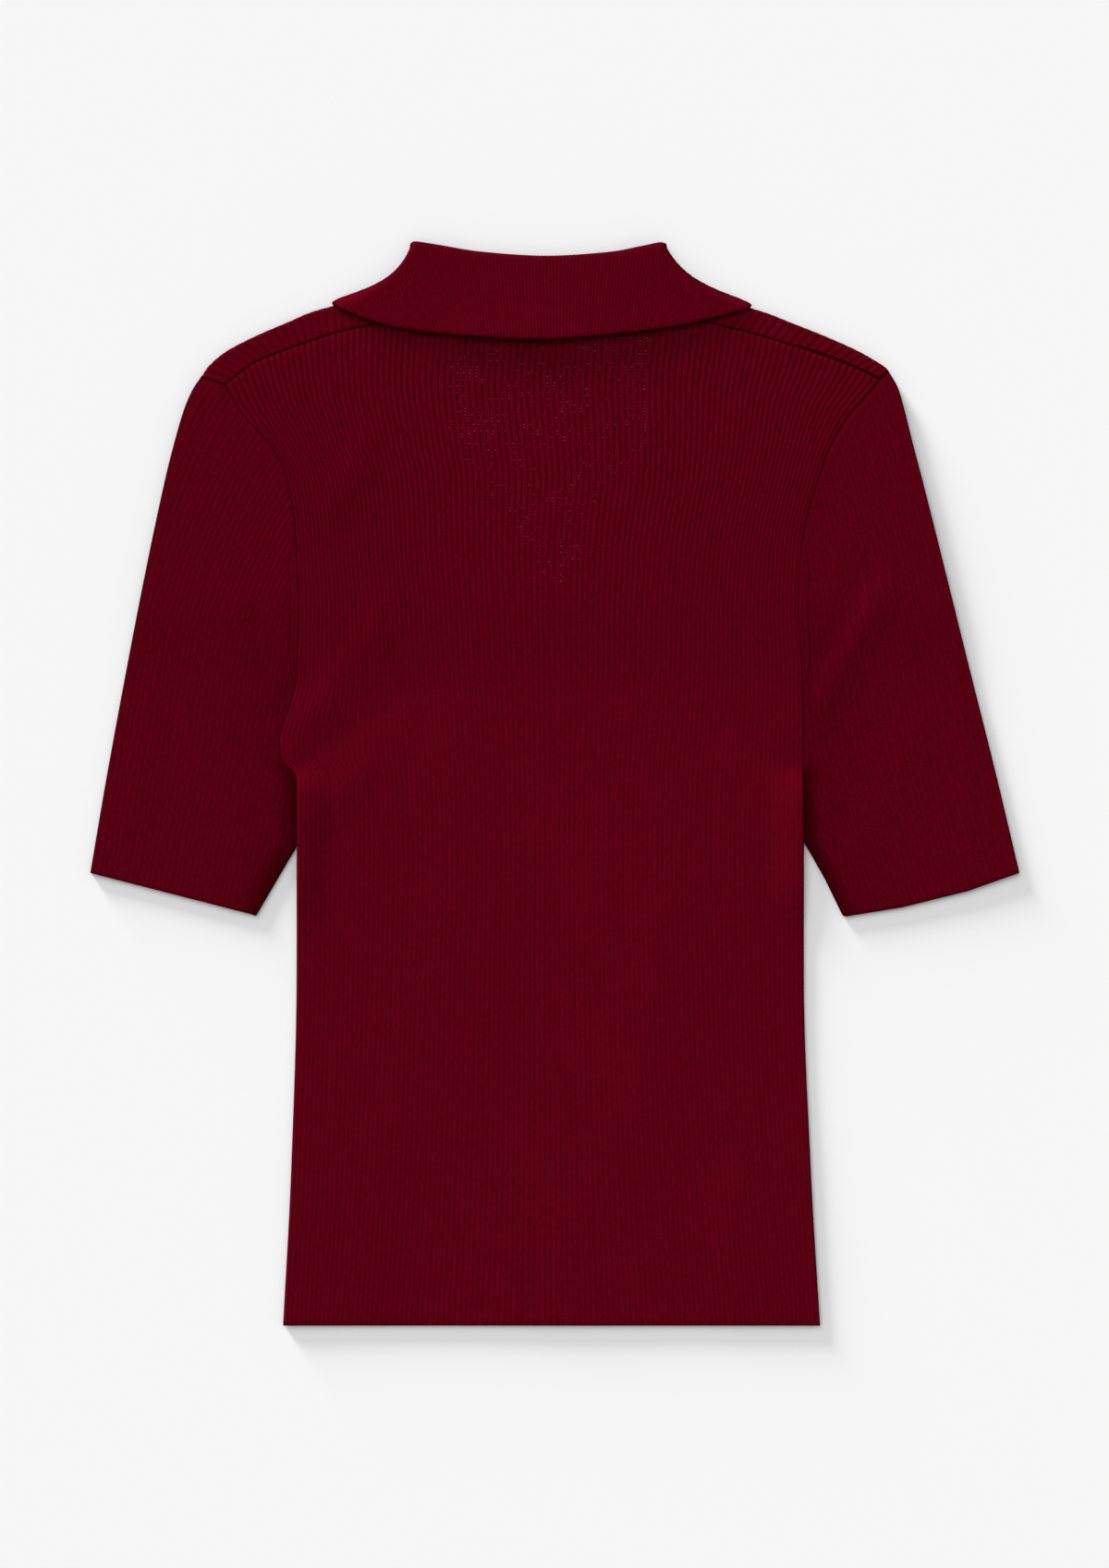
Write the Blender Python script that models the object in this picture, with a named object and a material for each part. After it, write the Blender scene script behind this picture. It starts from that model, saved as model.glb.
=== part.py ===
"""A fine rib-knit top with short sleeves and a folded rib collar over a V neck, laid flat with its back up.

Metres, +Z up. The floor is Z = 0, the neck points to +Y, and X = 0, Y = 0 is the middle of the outline.
Tables are in millimetres, in the same frame. "Left" is -X.

Layers from the floor up: the collar's front leaves, the front panel, the back panel, the collar's back fall.
The front wraps over each shoulder to a seam that lies on the back.
"""

import math
from collections import namedtuple

import bmesh
import bpy
from mathutils import Vector

MM = 0.001
MERGE = 1e-6

# Knit
WALL = 1.2             # cloth between its troughs and its plain inside
RIB_RISE = 0.6         # crest over trough
LAYER_GAP = 0.4        # air between two layers that lie on each other
SEAM_GAP = 0.3         # between two pieces sewn edge to edge
BACK_RIBS = 104
SLEEVE_RIBS = 33
WRAP_RIBS = 26
COLLAR_RIBS = 132
COLLAR_RIB_RISE = 0.3

# Levels
STEP_UP = WALL + LAYER_GAP    # a layer lies this much over the one below it
RAMP_FOOT = 60.0              # the body climbs here onto the collar's front leaves
RAMP_HEAD = 100.7
ROUND = 1.4                   # outer radius of a fold of two layers
EDGE_RADIUS = 1.5             # rounding of a panel's outer corner along its sides
SIDE_SHARE = 0.15             # of the wall, left at the very side

# Length
HEM = -304.9
SHOULDER_BASE = 188.6         # above this the rows follow the shoulder line
V_TIP = (1.7, RAMP_HEAD)

Side = namedtuple("Side", "y left right")
Point = namedtuple("Point", "x y")
Rib = namedtuple("Rib", "y pitch")
Turn = namedtuple("Turn", "angle seam roll edge bow lift")

# The body's folded sides and, above the underarm, the armhole seams on the back
BODY_SIDES = (
    Side(-304.9, -152.5, 149.4),
    Side(-219.1, -148.0, 144.3),
    Side(-109.9, -144.9, 140.3),
    Side(-32.9, -144.7, 140.2),
    Side(0.9, -144.6, 140.0),
    Side(26.0, -144.6, 140.2),
    Side(60.0, -144.6, 140.0),
    Side(100.7, -143.4, 137.6),
    Side(129.4, -144.7, 138.7),
    Side(150.2, -146.0, 142.1),
    Side(170.9, -149.6, 148.3),
    Side(188.6, -158.0, 154.6),
    Side(206.8, -174.1, 165.0),
    Side(217.2, -181.0, 174.3),
    Side(224.5, -185.0, 180.6),
    Side(227.6, -186.4, 182.7),
)
# How far the left side bulges outwards at the underarm, and the share of the width that moves with it
UNDERARM_BULGE = (Rib(0.9, 0.0), Rib(26.0, 8.0), Rib(60.0, 0.0))
BULGE_REACH = 0.25
# The back panel's top edge: shoulder seam, neck seam, shoulder seam
BACK_TOP = (
    Point(-185.0, 224.5),
    Point(-169.4, 236.5),
    Point(-150.7, 244.3),
    Point(-123.6, 253.6),
    Point(-100.8, 258.8),
    Point(-80.0, 264.6),
    Point(-70.0, 265.2),
    Point(-42.0, 264.3),
    Point(-5.0, 263.4),
    Point(30.0, 264.0),
    Point(52.0, 265.0),
    Point(61.5, 265.0),
    Point(85.9, 259.9),
    Point(109.3, 254.1),
    Point(133.3, 246.9),
    Point(155.6, 239.6),
    Point(172.2, 232.8),
    Point(182.7, 227.6),
)
NECK_START, NECK_END = 5, 11  # the rows of it where the neck seam starts and ends
# The fold where the front turns over each shoulder, from the sleeve to the neck
LEFT_FOLD = (
    Point(-198.4, 229.2),
    Point(-194.4, 235.4),
    Point(-184.5, 243.7),
    Point(-168.4, 252.1),
    Point(-149.1, 260.4),
    Point(-134.0, 266.6),
    Point(-103.9, 274.5),
    Point(-80.3, 283.4),
)
RIGHT_FOLD = (
    Point(188.0, 232.3),
    Point(185.3, 235.4),
    Point(171.2, 243.7),
    Point(152.5, 252.1),
    Point(131.7, 260.4),
    Point(115.6, 266.5),
    Point(86.0, 274.4),
    Point(61.8, 282.6),
)
# How far the top of a rib of the wrap lies from its foot on the seam towards the sleeve, y and both shifts
# as shares of the shoulder's length from the sleeve to the neck
WRAP_LEAN = (
    Side(0.0, 0.0, 0.0),
    Side(0.15, 0.006, 0.035),
    Side(0.3, -0.02, 0.027),
    Side(0.5, -0.042, 0.033),
    Side(0.65, -0.038, 0.045),
    Side(0.8, -0.012, 0.057),
    Side(0.92, 0.02, 0.06),
    Side(1.0, 0.0, 0.0),
)
# Rib spacing in the back: a share of the pitch moved from the sides to the middle
BACK_CROWDING = (
    Rib(-60.0, 0.0),
    Rib(77.0, 0.05),
    Rib(130.0, 0.1),
    Rib(165.0, 0.17),
    Rib(190.0, 0.12),
    Rib(225.0, 0.03),
)

Sleeve = namedtuple("Sleeve", "sign outer cuff notch cap_ribs top")
LEFT_SLEEVE = Sleeve(
    sign=-1,
    outer=(
        Point(261.4, -50.0),
        Point(252.1, 4.6),
        Point(236.5, 87.8),
        Point(219.3, 170.9),
        Point(214.1, 191.8),
        Point(207.9, 212.6),
        Point(203.2, 223.0),
        Point(199.0, 229.2),
    ),
    cuff=(Point(261.4, -50.0), Point(167.8, -74.0)),
    notch=(Point(167.8, -74.0), Point(145.0, -33.5)),
    cap_ribs=(
        Rib(RAMP_HEAD, 2.75),
        Rib(140.0, 3.0),
        Rib(181.0, 3.43),
        Rib(212.0, 3.64),
        Rib(232.0, 3.75),
    ),
    top=(Point(199.0, 229.2), Point(191.7, 226.1), Point(185.0, 224.5)),
)
RIGHT_SLEEVE = Sleeve(
    sign=1,
    outer=(
        Point(262.0, -49.9),
        Point(249.1, 4.6),
        Point(228.2, 87.8),
        Point(207.4, 170.9),
        Point(201.9, 191.8),
        Point(196.7, 212.6),
        Point(193.6, 223.0),
        Point(188.4, 232.3),
    ),
    cuff=(
        Point(262.0, -49.9),
        Point(233.1, -60.2),
        Point(195.6, -69.5),
        Point(164.4, -74.5),
        Point(162.4, -74.0),
    ),
    notch=(Point(162.4, -74.0), Point(152.6, -53.0), Point(140.5, -31.0)),
    cap_ribs=(
        Rib(RAMP_HEAD, 2.65),
        Rib(140.0, 2.9),
        Rib(181.0, 2.75),
        Rib(212.0, 3.2),
        Rib(232.0, 3.4),
    ),
    top=(Point(188.4, 232.3), Point(185.6, 230.0), Point(182.7, 227.6)),
)

# The collar from the left V tip round the neck to the right one. angle 0 is the back, with the fall on top;
# angle 180 is the front, with the leaf underneath. bow pulls the fall's middle in; lift raises its edge.
COLLAR = (
    Turn(180, (-5.3, 109.3), (-1.5, 110.6), (-36.0, 110.5), 0, 0),
    Turn(180, (-37.3, 147.2), (-31.1, 150.1), (-71.6, 134.6), 0, 0),
    Turn(180, (-67.4, 193.8), (-57.6, 196.9), (-104.9, 181.3), 0, 0),
    Turn(180, (-72.7, 232.3), (-60.7, 233.4), (-115.3, 227.1), 0, 0),
    Turn(180, (-78.0, 275.0), (-73.0, 281.0), (-121.5, 262.0), 2, 0),
    Turn(150, (-78.6, 281.5), (-77.4, 298.0), (-124.0, 268.4), 4.6, 0),
    Turn(120, (-78.8, 285.0), (-78.8, 303.3), (-125.0, 270.4), 5.9, 0),
    Turn(90, (-78.8, 286.0), (-79.5, 304.8), (-125.4, 271.3), 6.5, 0),
    Turn(60, (-78.4, 285.0), (-79.4, 305.1), (-123.8, 270.0), 5.9, 0),
    Turn(30, (-77.9, 281.5), (-78.6, 305.3), (-120.0, 267.6), 4.7, 0),
    Turn(0, (-77.4, 275.0), (-76.8, 305.3), (-113.0, 264.4), 2.7, 0),
    Turn(0, (-75.5, 266.2), (-72.0, 304.6), (-101.5, 260.0), 1.2, 0.3),
    Turn(0, (-67.0, 265.6), (-64.0, 303.3), (-83.0, 255.8), 0.4, 0.8),
    Turn(0, (-41.5, 264.7), (-41.0, 299.6), (-49.5, 251.9), 0, 1.8),
    Turn(0, (-5.0, 263.8), (-5.0, 297.3), (-5.0, 250.0), 0, 2.4),
    Turn(0, (30.0, 264.4), (30.0, 299.4), (35.0, 253.2), 0, 1.8),
    Turn(0, (49.5, 265.4), (49.0, 302.8), (68.0, 257.4), 0.4, 0.8),
    Turn(0, (57.5, 265.8), (56.5, 304.4), (86.0, 261.4), 1.0, 0.3),
    Turn(0, (59.0, 274.0), (59.4, 304.9), (100.5, 265.2), 2.6, 0),
    Turn(30, (59.2, 280.5), (60.6, 304.8), (107.0, 267.0), 4.2, 0),
    Turn(60, (59.6, 284.2), (61.5, 304.7), (110.0, 268.4), 5.1, 0),
    Turn(90, (60.0, 285.2), (61.8, 304.4), (111.4, 270.0), 5.5, 0),
    Turn(120, (59.9, 284.2), (61.4, 302.8), (110.9, 269.2), 5.1, 0),
    Turn(150, (59.7, 280.5), (60.6, 297.3), (109.9, 267.2), 4.2, 0),
    Turn(180, (60.3, 274.0), (58.4, 280.0), (107.0, 260.0), 2, 0),
    Turn(180, (60.5, 232.3), (54.2, 233.4), (98.9, 225.5), 0, 0),
    Turn(180, (58.4, 193.8), (52.1, 191.7), (94.8, 176.1), 0, 0),
    Turn(180, (42.8, 147.2), (35.0, 150.1), (75.5, 133.5), 0, 0),
    Turn(180, (8.1, 109.3), (4.9, 110.6), (41.7, 109.5), 0, 0),
)

KNIT_RED = (0.102, 0.0014, 0.0072)


def linear(table, column, value):
    """The table's column at this y, straight between rows and along the end rows' slope beyond."""
    rows = sorted(table, key=lambda row: row.y)
    below = 0
    while below < len(rows) - 2 and rows[below + 1].y < value:
        below += 1
    low, high = rows[below], rows[below + 1]
    share = (value - low.y) / (high.y - low.y)
    return getattr(low, column) * (1 - share) + getattr(high, column) * share


def bulge(side, y, share):
    """How far a side's bulge moves a place that is this share of the width in from the side."""
    if side == "right" or not UNDERARM_BULGE[0].y < y < UNDERARM_BULGE[-1].y:
        return 0.0
    return linear(UNDERARM_BULGE, "pitch", y) * max(1 - share / BULGE_REACH, 0.0)


def body_side(side, y):
    """The x of the body's side, bulge included."""
    return linear(BODY_SIDES, side, y) - bulge(side, y, 0.0)


def along(points, share):
    """The place this share of the way along a line of points, and of its length."""
    spans = [math.dist(a, b) for a, b in zip(points, points[1:])]
    left = share * sum(spans)
    for span, a, b in zip(spans, points, points[1:]):
        if left <= span or b is points[-1]:
            part = left / span
            return Point(a.x + (b.x - a.x) * part, a.y + (b.y - a.y) * part)
        left -= span
    return points[-1]


def height_at(points, x):
    """The y of a line of points that runs across, at this x."""
    rows = sorted(points)
    right = 1
    while right < len(rows) - 1 and rows[right].x < x:
        right += 1
    a, b = rows[right - 1], rows[right]
    return a.y + (b.y - a.y) * (x - a.x) / (b.x - a.x)


def floor_at(y):
    """How high the front panel's underside is: on the floor, then up onto the collar's leaves."""
    return STEP_UP * min(max((y - RAMP_FOOT) / (RAMP_HEAD - RAMP_FOOT), 0.0), 1.0)


def rounding(inset):
    """The share of the wall that is left this far in from a panel's side."""
    reach = min(max(inset / EDGE_RADIUS, 0.0), 1.0)
    return SIDE_SHARE + (1 - SIDE_SHARE) * math.sqrt(1 - (1 - reach) ** 2)


def skin(bm, rows):
    """Vertices for rows of (u, point), in millimetres."""
    return [[(u, bm.verts.new(Vector(point) * MM)) for u, point in row] for row in rows]


def face(bm, corners):
    """One face, or none where corners fall together."""
    kept = [v for i, v in enumerate(corners) if (v.co - corners[i - 1].co).length > MERGE]
    if len(kept) > 2:
        bm.faces.new(kept)


def bridge(bm, first, second):
    """Faces between two rows: quads where both have a vertex at u, triangles where only one has."""
    i = j = 0
    while i < len(first) - 1 or j < len(second) - 1:
        next_i = first[i + 1][0] if i < len(first) - 1 else math.inf
        next_j = second[j + 1][0] if j < len(second) - 1 else math.inf
        if abs(next_i - next_j) < 1e-6:
            face(bm, [first[i][1], first[i + 1][1], second[j + 1][1], second[j][1]])
            i, j = i + 1, j + 1
        elif next_i < next_j:
            face(bm, [first[i][1], first[i + 1][1], second[j][1]])
            i += 1
        else:
            face(bm, [first[i][1], second[j + 1][1], second[j][1]])
            j += 1


def wall(bm, outer, inner, first=True, last=True, start_from=0, end_from=0):
    """A wall between two skins of rows. first and last close it along those rows, start_from and end_from
    along the rows' starts and ends from that row on."""
    outer = skin(bm, outer)
    inner = skin(bm, inner)
    for rows in (outer, inner):
        for one, other in zip(rows, rows[1:]):
            bridge(bm, one, other)
    if first:
        bridge(bm, outer[0], inner[0])
    if last:
        bridge(bm, outer[-1], inner[-1])
    for end, begin in ((0, start_from), (-1, end_from)):
        for row in range(begin, len(outer) - 1):
            corners = (outer[row], outer[row + 1], inner[row + 1], inner[row])
            face(bm, [corner[end][1] for corner in corners])


def knit_material(name, roughness):
    material = bpy.data.materials.new(name)
    material.use_nodes = True
    shader = material.node_tree.nodes["Principled BSDF"]
    shader.inputs["Base Color"].default_value = (*KNIT_RED, 1.0)
    shader.inputs["Roughness"].default_value = roughness
    shader.inputs["Metallic"].default_value = 0.0
    material.diffuse_color = (*KNIT_RED, 1.0)
    return material


def solid(bm, name, collection, material):
    """The finished object: coincident vertices joined and every face turned outwards."""
    bmesh.ops.remove_doubles(bm, verts=bm.verts, dist=MERGE)
    bmesh.ops.triangulate(bm, faces=[f for f in bm.faces if len(f.verts) > 3])
    bmesh.ops.recalc_face_normals(bm, faces=bm.faces)
    if bm.calc_volume(signed=True) < 0:
        bmesh.ops.reverse_faces(bm, faces=bm.faces)
    mesh = bpy.data.meshes.new(name)
    bm.to_mesh(mesh)
    bm.free()
    mesh.materials.append(material)
    obj = bpy.data.objects.new(name, mesh)
    collection.objects.link(obj)
    return obj


# Back panel

STRAIGHT_ROWS = tuple(side.y for side in BODY_SIDES if side.y <= SHOULDER_BASE)
BACK_CLIMBS = (0.5, 0.8, 1.0)
PLAIN_EVERY = 16              # ribbed columns to each one of the plain underside
PLAIN_AT_TOP = 4              # the same along the curved top edge


def crowded(share, y):
    """A rib's share of the width, with the sides' ribs closer together than the middle's."""
    amount = linear(BACK_CROWDING, "pitch", min(max(y, BACK_CROWDING[0].y), BACK_CROWDING[-1].y))
    return share - amount * math.sin(2 * math.pi * share) / (2 * math.pi)


def back_place(share, base, climb):
    """Plan position at a share of the width on a row that climbs from base towards the top edge."""
    left_y = base + (BACK_TOP[0].y - base) * climb
    right_y = base + (BACK_TOP[-1].y - base) * climb
    left = linear(BODY_SIDES, "left", left_y) + SEAM_GAP / 2
    right = linear(BODY_SIDES, "right", right_y) - SEAM_GAP / 2
    x = left + (right - left) * crowded(share, (left_y + right_y) / 2) - bulge("left", left_y, share)
    top_x = BACK_TOP[0].x + (BACK_TOP[-1].x - BACK_TOP[0].x) * crowded(share, BACK_TOP[0].y)
    y = base + (height_at(BACK_TOP, top_x) - base) * climb
    return x, y


def back_panel(collection, material):
    bm = bmesh.new()
    outer, inner = [], []
    columns = 2 * BACK_RIBS
    for base, climb in [(y, 0) for y in STRAIGHT_ROWS] + [(SHOULDER_BASE, climb) for climb in BACK_CLIMBS]:
        ribbed, plain = [], []
        plain_every = PLAIN_AT_TOP if climb == BACK_CLIMBS[-1] else PLAIN_EVERY
        for column in range(columns + 1):
            x, y = back_place(column / columns, base, climb)
            left = back_place(0, base, climb)[0]
            right = back_place(1, base, climb)[0]
            underside = floor_at(y) + STEP_UP
            rise = RIB_RISE if column % 2 else 0.0
            thick = (WALL + rise) * rounding(min(x - left, right - x))
            ribbed.append((column, (x, y, underside + thick)))
            if column % plain_every == 0:
                plain.append((column, (x, y, underside)))
        outer.append(ribbed)
        inner.append(plain)
    wall(bm, outer, inner)
    return solid(bm, "back_panel", collection, material)


# Front panel: a lower patch up to the V's tip, then two halves that fold over the shoulders

HALF_CLIMBS = (0.2, 0.45, 0.7)
NECK_HEIGHTS = (109.0, 119.0, 140.0)   # rows between the panels' own, along the V
NECK_GAP = 0.9
NECK_STEPS, STEPS_A_TURN = 80, 10      # places on the collar's seam that the neck edge follows
HALF_COLUMNS = 6
WRAP_INSETS = (2.6, 8.0, 40.0)    # rows of the wrap, from the fold; the last is on the seam
FOLD_STEPS = 4
SHOULDER_GAP = 0.35           # along Y, for SEAM_GAP across the slanting seam


def neck_edge(side, y):
    """The front's neck edge beside the collar's seam, from the V's tip up to the shoulder fold."""
    sign = -1 if side == "left" else 1
    first = 0 if side == "left" else len(COLLAR) - 1
    line = [Side(V_TIP[1], V_TIP[0], V_TIP[0])]
    for step in range(NECK_STEPS):
        seam = smooth_turn(abs(first - step / STEPS_A_TURN)).seam
        if seam.y > line[-1].y:
            x = seam.x + sign * NECK_GAP
            line.append(Side(seam.y, x, x))
    return linear(line, side, y)


def lower_patch(bm):
    under, over = [], []
    columns = 2 * HALF_COLUMNS
    for y in [y for y in STRAIGHT_ROWS if y <= RAMP_HEAD]:
        left = body_side("left", y) + SEAM_GAP / 2
        right = body_side("right", y) - SEAM_GAP / 2
        high = floor_at(y) + WALL
        middle = V_TIP[0]
        places = [(0, left), (0.5, left + EDGE_RADIUS)]
        for column in range(1, columns):
            share = column / HALF_COLUMNS
            x = left + (middle - left) * share if share < 1 else middle + (right - middle) * (share - 1)
            places.append((column, x))
        places += [(columns - 0.5, right - EDGE_RADIUS), (columns, right)]
        under.append([(u, (x, y, high - WALL * rounding(min(x - left, right - x)))) for u, x in places])
        over.append([(u, (x, y, high)) for u, x in places if u == int(u)])
    wall(bm, under, over, last=False)


def upper_half(bm, side):
    """One half of the front from the V's tip over the shoulder fold to the shoulder seam."""
    sign = -1 if side == "left" else 1
    fold = LEFT_FOLD if side == "left" else RIGHT_FOLD
    armhole_top, neck_top = fold[0], fold[-1]
    under, over = [], []
    corner = BACK_TOP[0] if side == "left" else BACK_TOP[-1]
    climbs = HALF_CLIMBS + ((corner.y - SHOULDER_BASE) / (armhole_top.y - SHOULDER_BASE),)
    straight = [(y, 0) for y in sorted(STRAIGHT_ROWS + NECK_HEIGHTS) if y >= RAMP_HEAD]
    for base, climb in straight + [(SHOULDER_BASE, climb) for climb in climbs]:
        low_row, high_row = [], []
        outer_y = base + (armhole_top.y - base) * climb
        neck_y = base + (neck_top.y - base) * climb
        edge = body_side(side, outer_y) - sign * SEAM_GAP / 2
        neck = neck_edge(side, neck_y)
        shares = [0, EDGE_RADIUS / abs(neck - edge)] + [c / HALF_COLUMNS for c in range(1, HALF_COLUMNS + 1)]
        for index, share in enumerate(shares):
            u = (0, 0.5)[index] if index < 2 else index - 1
            x = edge + (neck - edge) * share
            y = base + (along(fold, share).y - base) * climb
            high = floor_at(y) + WALL
            thick = WALL * rounding(abs(x - edge))
            low_row.append((u, (x, y, high - thick)))
            if u != 0.5:
                high_row.append((u, (x, y, high)))
        under.append(low_row)
        over.append(high_row)
    fold_rows(under, over, side, fold)
    wall(bm, under, over, first=False)


def fold_rows(under, over, side, fold):
    """The turn over the shoulder and the ribbed wrap down to the shoulder seam."""
    middle = floor_at(fold[0].y) + WALL + LAYER_GAP / 2
    seam = shoulder_seam(side)
    coarse = list(range(HALF_COLUMNS + 1))
    fine = [HALF_COLUMNS * c / (2 * WRAP_RIBS) for c in range(2 * WRAP_RIBS + 1)]

    def place(u, inset):
        """This far down from the fold towards the seam, along a leaning rib."""
        share = u / HALF_COLUMNS
        low = along(seam, share)
        depth = min(inset / math.dist(along(fold, share), low), 1.0)
        high = along(fold, share - linear(WRAP_LEAN, side, share))
        return high.x + (low.x - high.x) * depth, high.y + (low.y - high.y) * depth

    for step in range(FOLD_STEPS + 1):
        turn = math.pi * step / FOLD_STEPS
        outside = coarse if step < FOLD_STEPS / 2 else fine
        for row, columns, radius in ((under, outside, ROUND), (over, coarse, LAYER_GAP / 2)):
            inset = ROUND - radius * math.sin(turn)
            z = middle - radius * math.cos(turn)
            row.append([(u, (*place(u, inset), z)) for u in columns])
    for inset in WRAP_INSETS:
        top = middle + ROUND
        plain = fine[::2] if inset == WRAP_INSETS[-1] else coarse
        under.append([(u, (*place(u, inset), top + RIB_RISE * (index % 2))) for index, u in enumerate(fine)])
        over.append([(u, (*place(u, inset), middle + LAYER_GAP / 2)) for u in plain])


def shoulder_seam(side):
    """The back's shoulder edge moved off by the seam gap, from the armhole to the neck."""
    edge = BACK_TOP[:NECK_START + 1] if side == "left" else BACK_TOP[NECK_END:][::-1]
    return [Point(p.x, p.y + SHOULDER_GAP) for p in edge]


def front_panel(collection, material):
    bm = bmesh.new()
    lower_patch(bm)
    upper_half(bm, "left")
    upper_half(bm, "right")
    return solid(bm, "front_panel", collection, material)


# Sleeves: flattened tubes, closed from the cuff to the underarm and open along the armhole above it

SLEEVE_HEIGHTS = (-74.0, -69.0, -32.9, 0.9, 26.0, 60.0, 80.0, RAMP_HEAD)   # of each row's inner end
CLOSED_TO = 4                 # the row that ends at the underarm
CUFF_SPAN = (-80.0, -45.0)    # heights that hold the whole cuff
OVER_TOP = 6.0                # above the end of the fold, where no sleeve is left
HALVINGS = 30                 # of that span, to find where a rib ends
PLAIN_COLUMNS = (0, 8, 18, 30, 42, 54, 66)
TURN_STEPS = 6                # facets of a folded side
SEAM_COLUMNS = tuple(range(0, 2 * SLEEVE_RIBS + 1, 3))
PLAIN_AT = {SLEEVE_HEIGHTS[0]: SEAM_COLUMNS[::2], SLEEVE_HEIGHTS[-2]: SEAM_COLUMNS, RAMP_HEAD: SEAM_COLUMNS}


def side_of(sleeve):
    return "left" if sleeve.sign < 0 else "right"


def sleeve_outer(sleeve, y):
    return linear(sleeve.outer, "x", y)


def sleeve_inner(sleeve, y):
    """The sleeve's inner line: slanted up to the notch, then beside the body and up the armhole."""
    if y < sleeve.notch[-1].y:
        return linear(sleeve.notch, "x", y)
    return abs(linear(BODY_SIDES, side_of(sleeve), y)) + SEAM_GAP


def rib_pitch(sleeve, y):
    cap = sleeve.cap_ribs
    if y < cap[0].y:
        return (sleeve_outer(sleeve, y) - sleeve_inner(sleeve, y)) / SLEEVE_RIBS
    start = (sleeve_outer(sleeve, cap[0].y) - sleeve_inner(sleeve, cap[0].y)) / SLEEVE_RIBS
    return max(start, linear(cap, "pitch", y))


def rib_x(sleeve, rib, y):
    from_seam = max(1 - (rib + 1) / SLEEVE_RIBS, 0.0)   # the last rib keeps its width
    return sleeve_outer(sleeve, y) - rib * rib_pitch(sleeve, y) + bulge(side_of(sleeve), y, from_seam)


def cuff_y(sleeve, rib):
    """Where this rib meets the cuff."""
    low, high = CUFF_SPAN
    for _ in range(HALVINGS):
        y = (low + high) / 2
        if height_at(sleeve.cuff, rib_x(sleeve, rib, y)) > y:
            low = y
        else:
            high = y
    return y


def cap_y(sleeve, rib):
    """Where this rib meets the armhole seam or the short seam at the top of the sleeve."""
    low, high = sleeve.cap_ribs[0].y, sleeve.top[0].y + OVER_TOP
    if rib == SLEEVE_RIBS:
        return low
    for _ in range(HALVINGS):
        y = (low + high) / 2
        x = rib_x(sleeve, rib, y)
        if x >= sleeve.top[-1].x:
            inside = y < height_at(sleeve.top, x) - 2 * SEAM_GAP
        else:
            inside = x > sleeve_inner(sleeve, y)
        if inside:
            low = y
        else:
            high = y
    return y


def sleeve_point(sleeve, rib, height):
    """Plan position on a rib, outwards from the centre, on the row whose inner end is at this height."""
    last_start, last_end = cuff_y(sleeve, SLEEVE_RIBS), RAMP_HEAD
    share = max(height - last_start, 0) / (last_end - last_start)
    start = cuff_y(sleeve, rib)
    y = start + (cap_y(sleeve, rib) - start) * share
    return rib_x(sleeve, rib, y), y


def sleeve_layers(sleeve, height):
    """Outer and inner points of a row: along the top layer to the outer fold and back underneath."""
    outer, inner = [], []
    columns = 2 * SLEEVE_RIBS
    plain = PLAIN_AT.get(height, PLAIN_COLUMNS)
    top = 2 * STEP_UP - LAYER_GAP
    for column in range(columns, 0, -1):
        x, y = sleeve_point(sleeve, column / 2, height)
        inset = x - sleeve_inner(sleeve, y) - bulge(side_of(sleeve), y, 0.0)
        rise = RIB_RISE if column % 2 and ROUND < inset else 0.0
        outer.append((columns - column, (x, y, floor_at(y) + top + rise)))
    fold_x, fold_y = sleeve_point(sleeve, 0, height)
    base = floor_at(fold_y) + ROUND
    for index in range(1, TURN_STEPS):
        turn = math.pi * index / TURN_STEPS
        across = fold_x - ROUND + ROUND * math.sin(turn)
        outer.append((columns + index / TURN_STEPS, (across, fold_y, base + ROUND * math.cos(turn))))
    for column in plain[::-1]:
        x, y = sleeve_point(sleeve, max(column, 1) / 2, height)
        inner.append((columns - column, (x, y, floor_at(y) + STEP_UP)))
    inner.append((columns + 0.5, (fold_x - WALL, fold_y, base)))
    for column in plain:
        x, y = sleeve_point(sleeve, max(column, 1) / 2, height)
        outer.append((columns + 1 + column, (x, y, floor_at(y))))
        inner.append((columns + 1 + column, (x, y, floor_at(y) + WALL)))
    return outer, inner


def sleeve_fold(outer, inner, sleeve):
    """Moves a closed row's ends back from the underarm fold and gives the turn that joins them."""
    start, end = outer[0][1], outer[-1][1]
    x, y = start[0], start[1]
    base = floor_at(y) + ROUND
    outer[0] = (outer[0][0], (x + ROUND, y, start[2]))
    outer[-1] = (outer[-1][0], (x + ROUND, y, end[2]))
    inner[0] = (inner[0][0], (x + ROUND, y, inner[0][1][2]))
    inner[-1] = (inner[-1][0], (x + ROUND, y, inner[-1][1][2]))
    turned = [outer[0]]
    for index in range(1, TURN_STEPS):
        turn = math.pi * index / TURN_STEPS
        across = x + ROUND - ROUND * math.sin(turn)
        turned.append((-index / TURN_STEPS, (across, y, base + ROUND * math.cos(turn))))
    turned.append((-1, outer[-1][1]))
    hollow = [inner[0], (-0.5, (x + WALL, y, base)), (-1, inner[-1][1])]
    return [(-u, p) for u, p in turned], [(-u, p) for u, p in hollow]


def mirrored(rows, sign):
    return [[(u, (sign * x, y, z)) for u, (x, y, z) in row] for row in rows]


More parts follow.
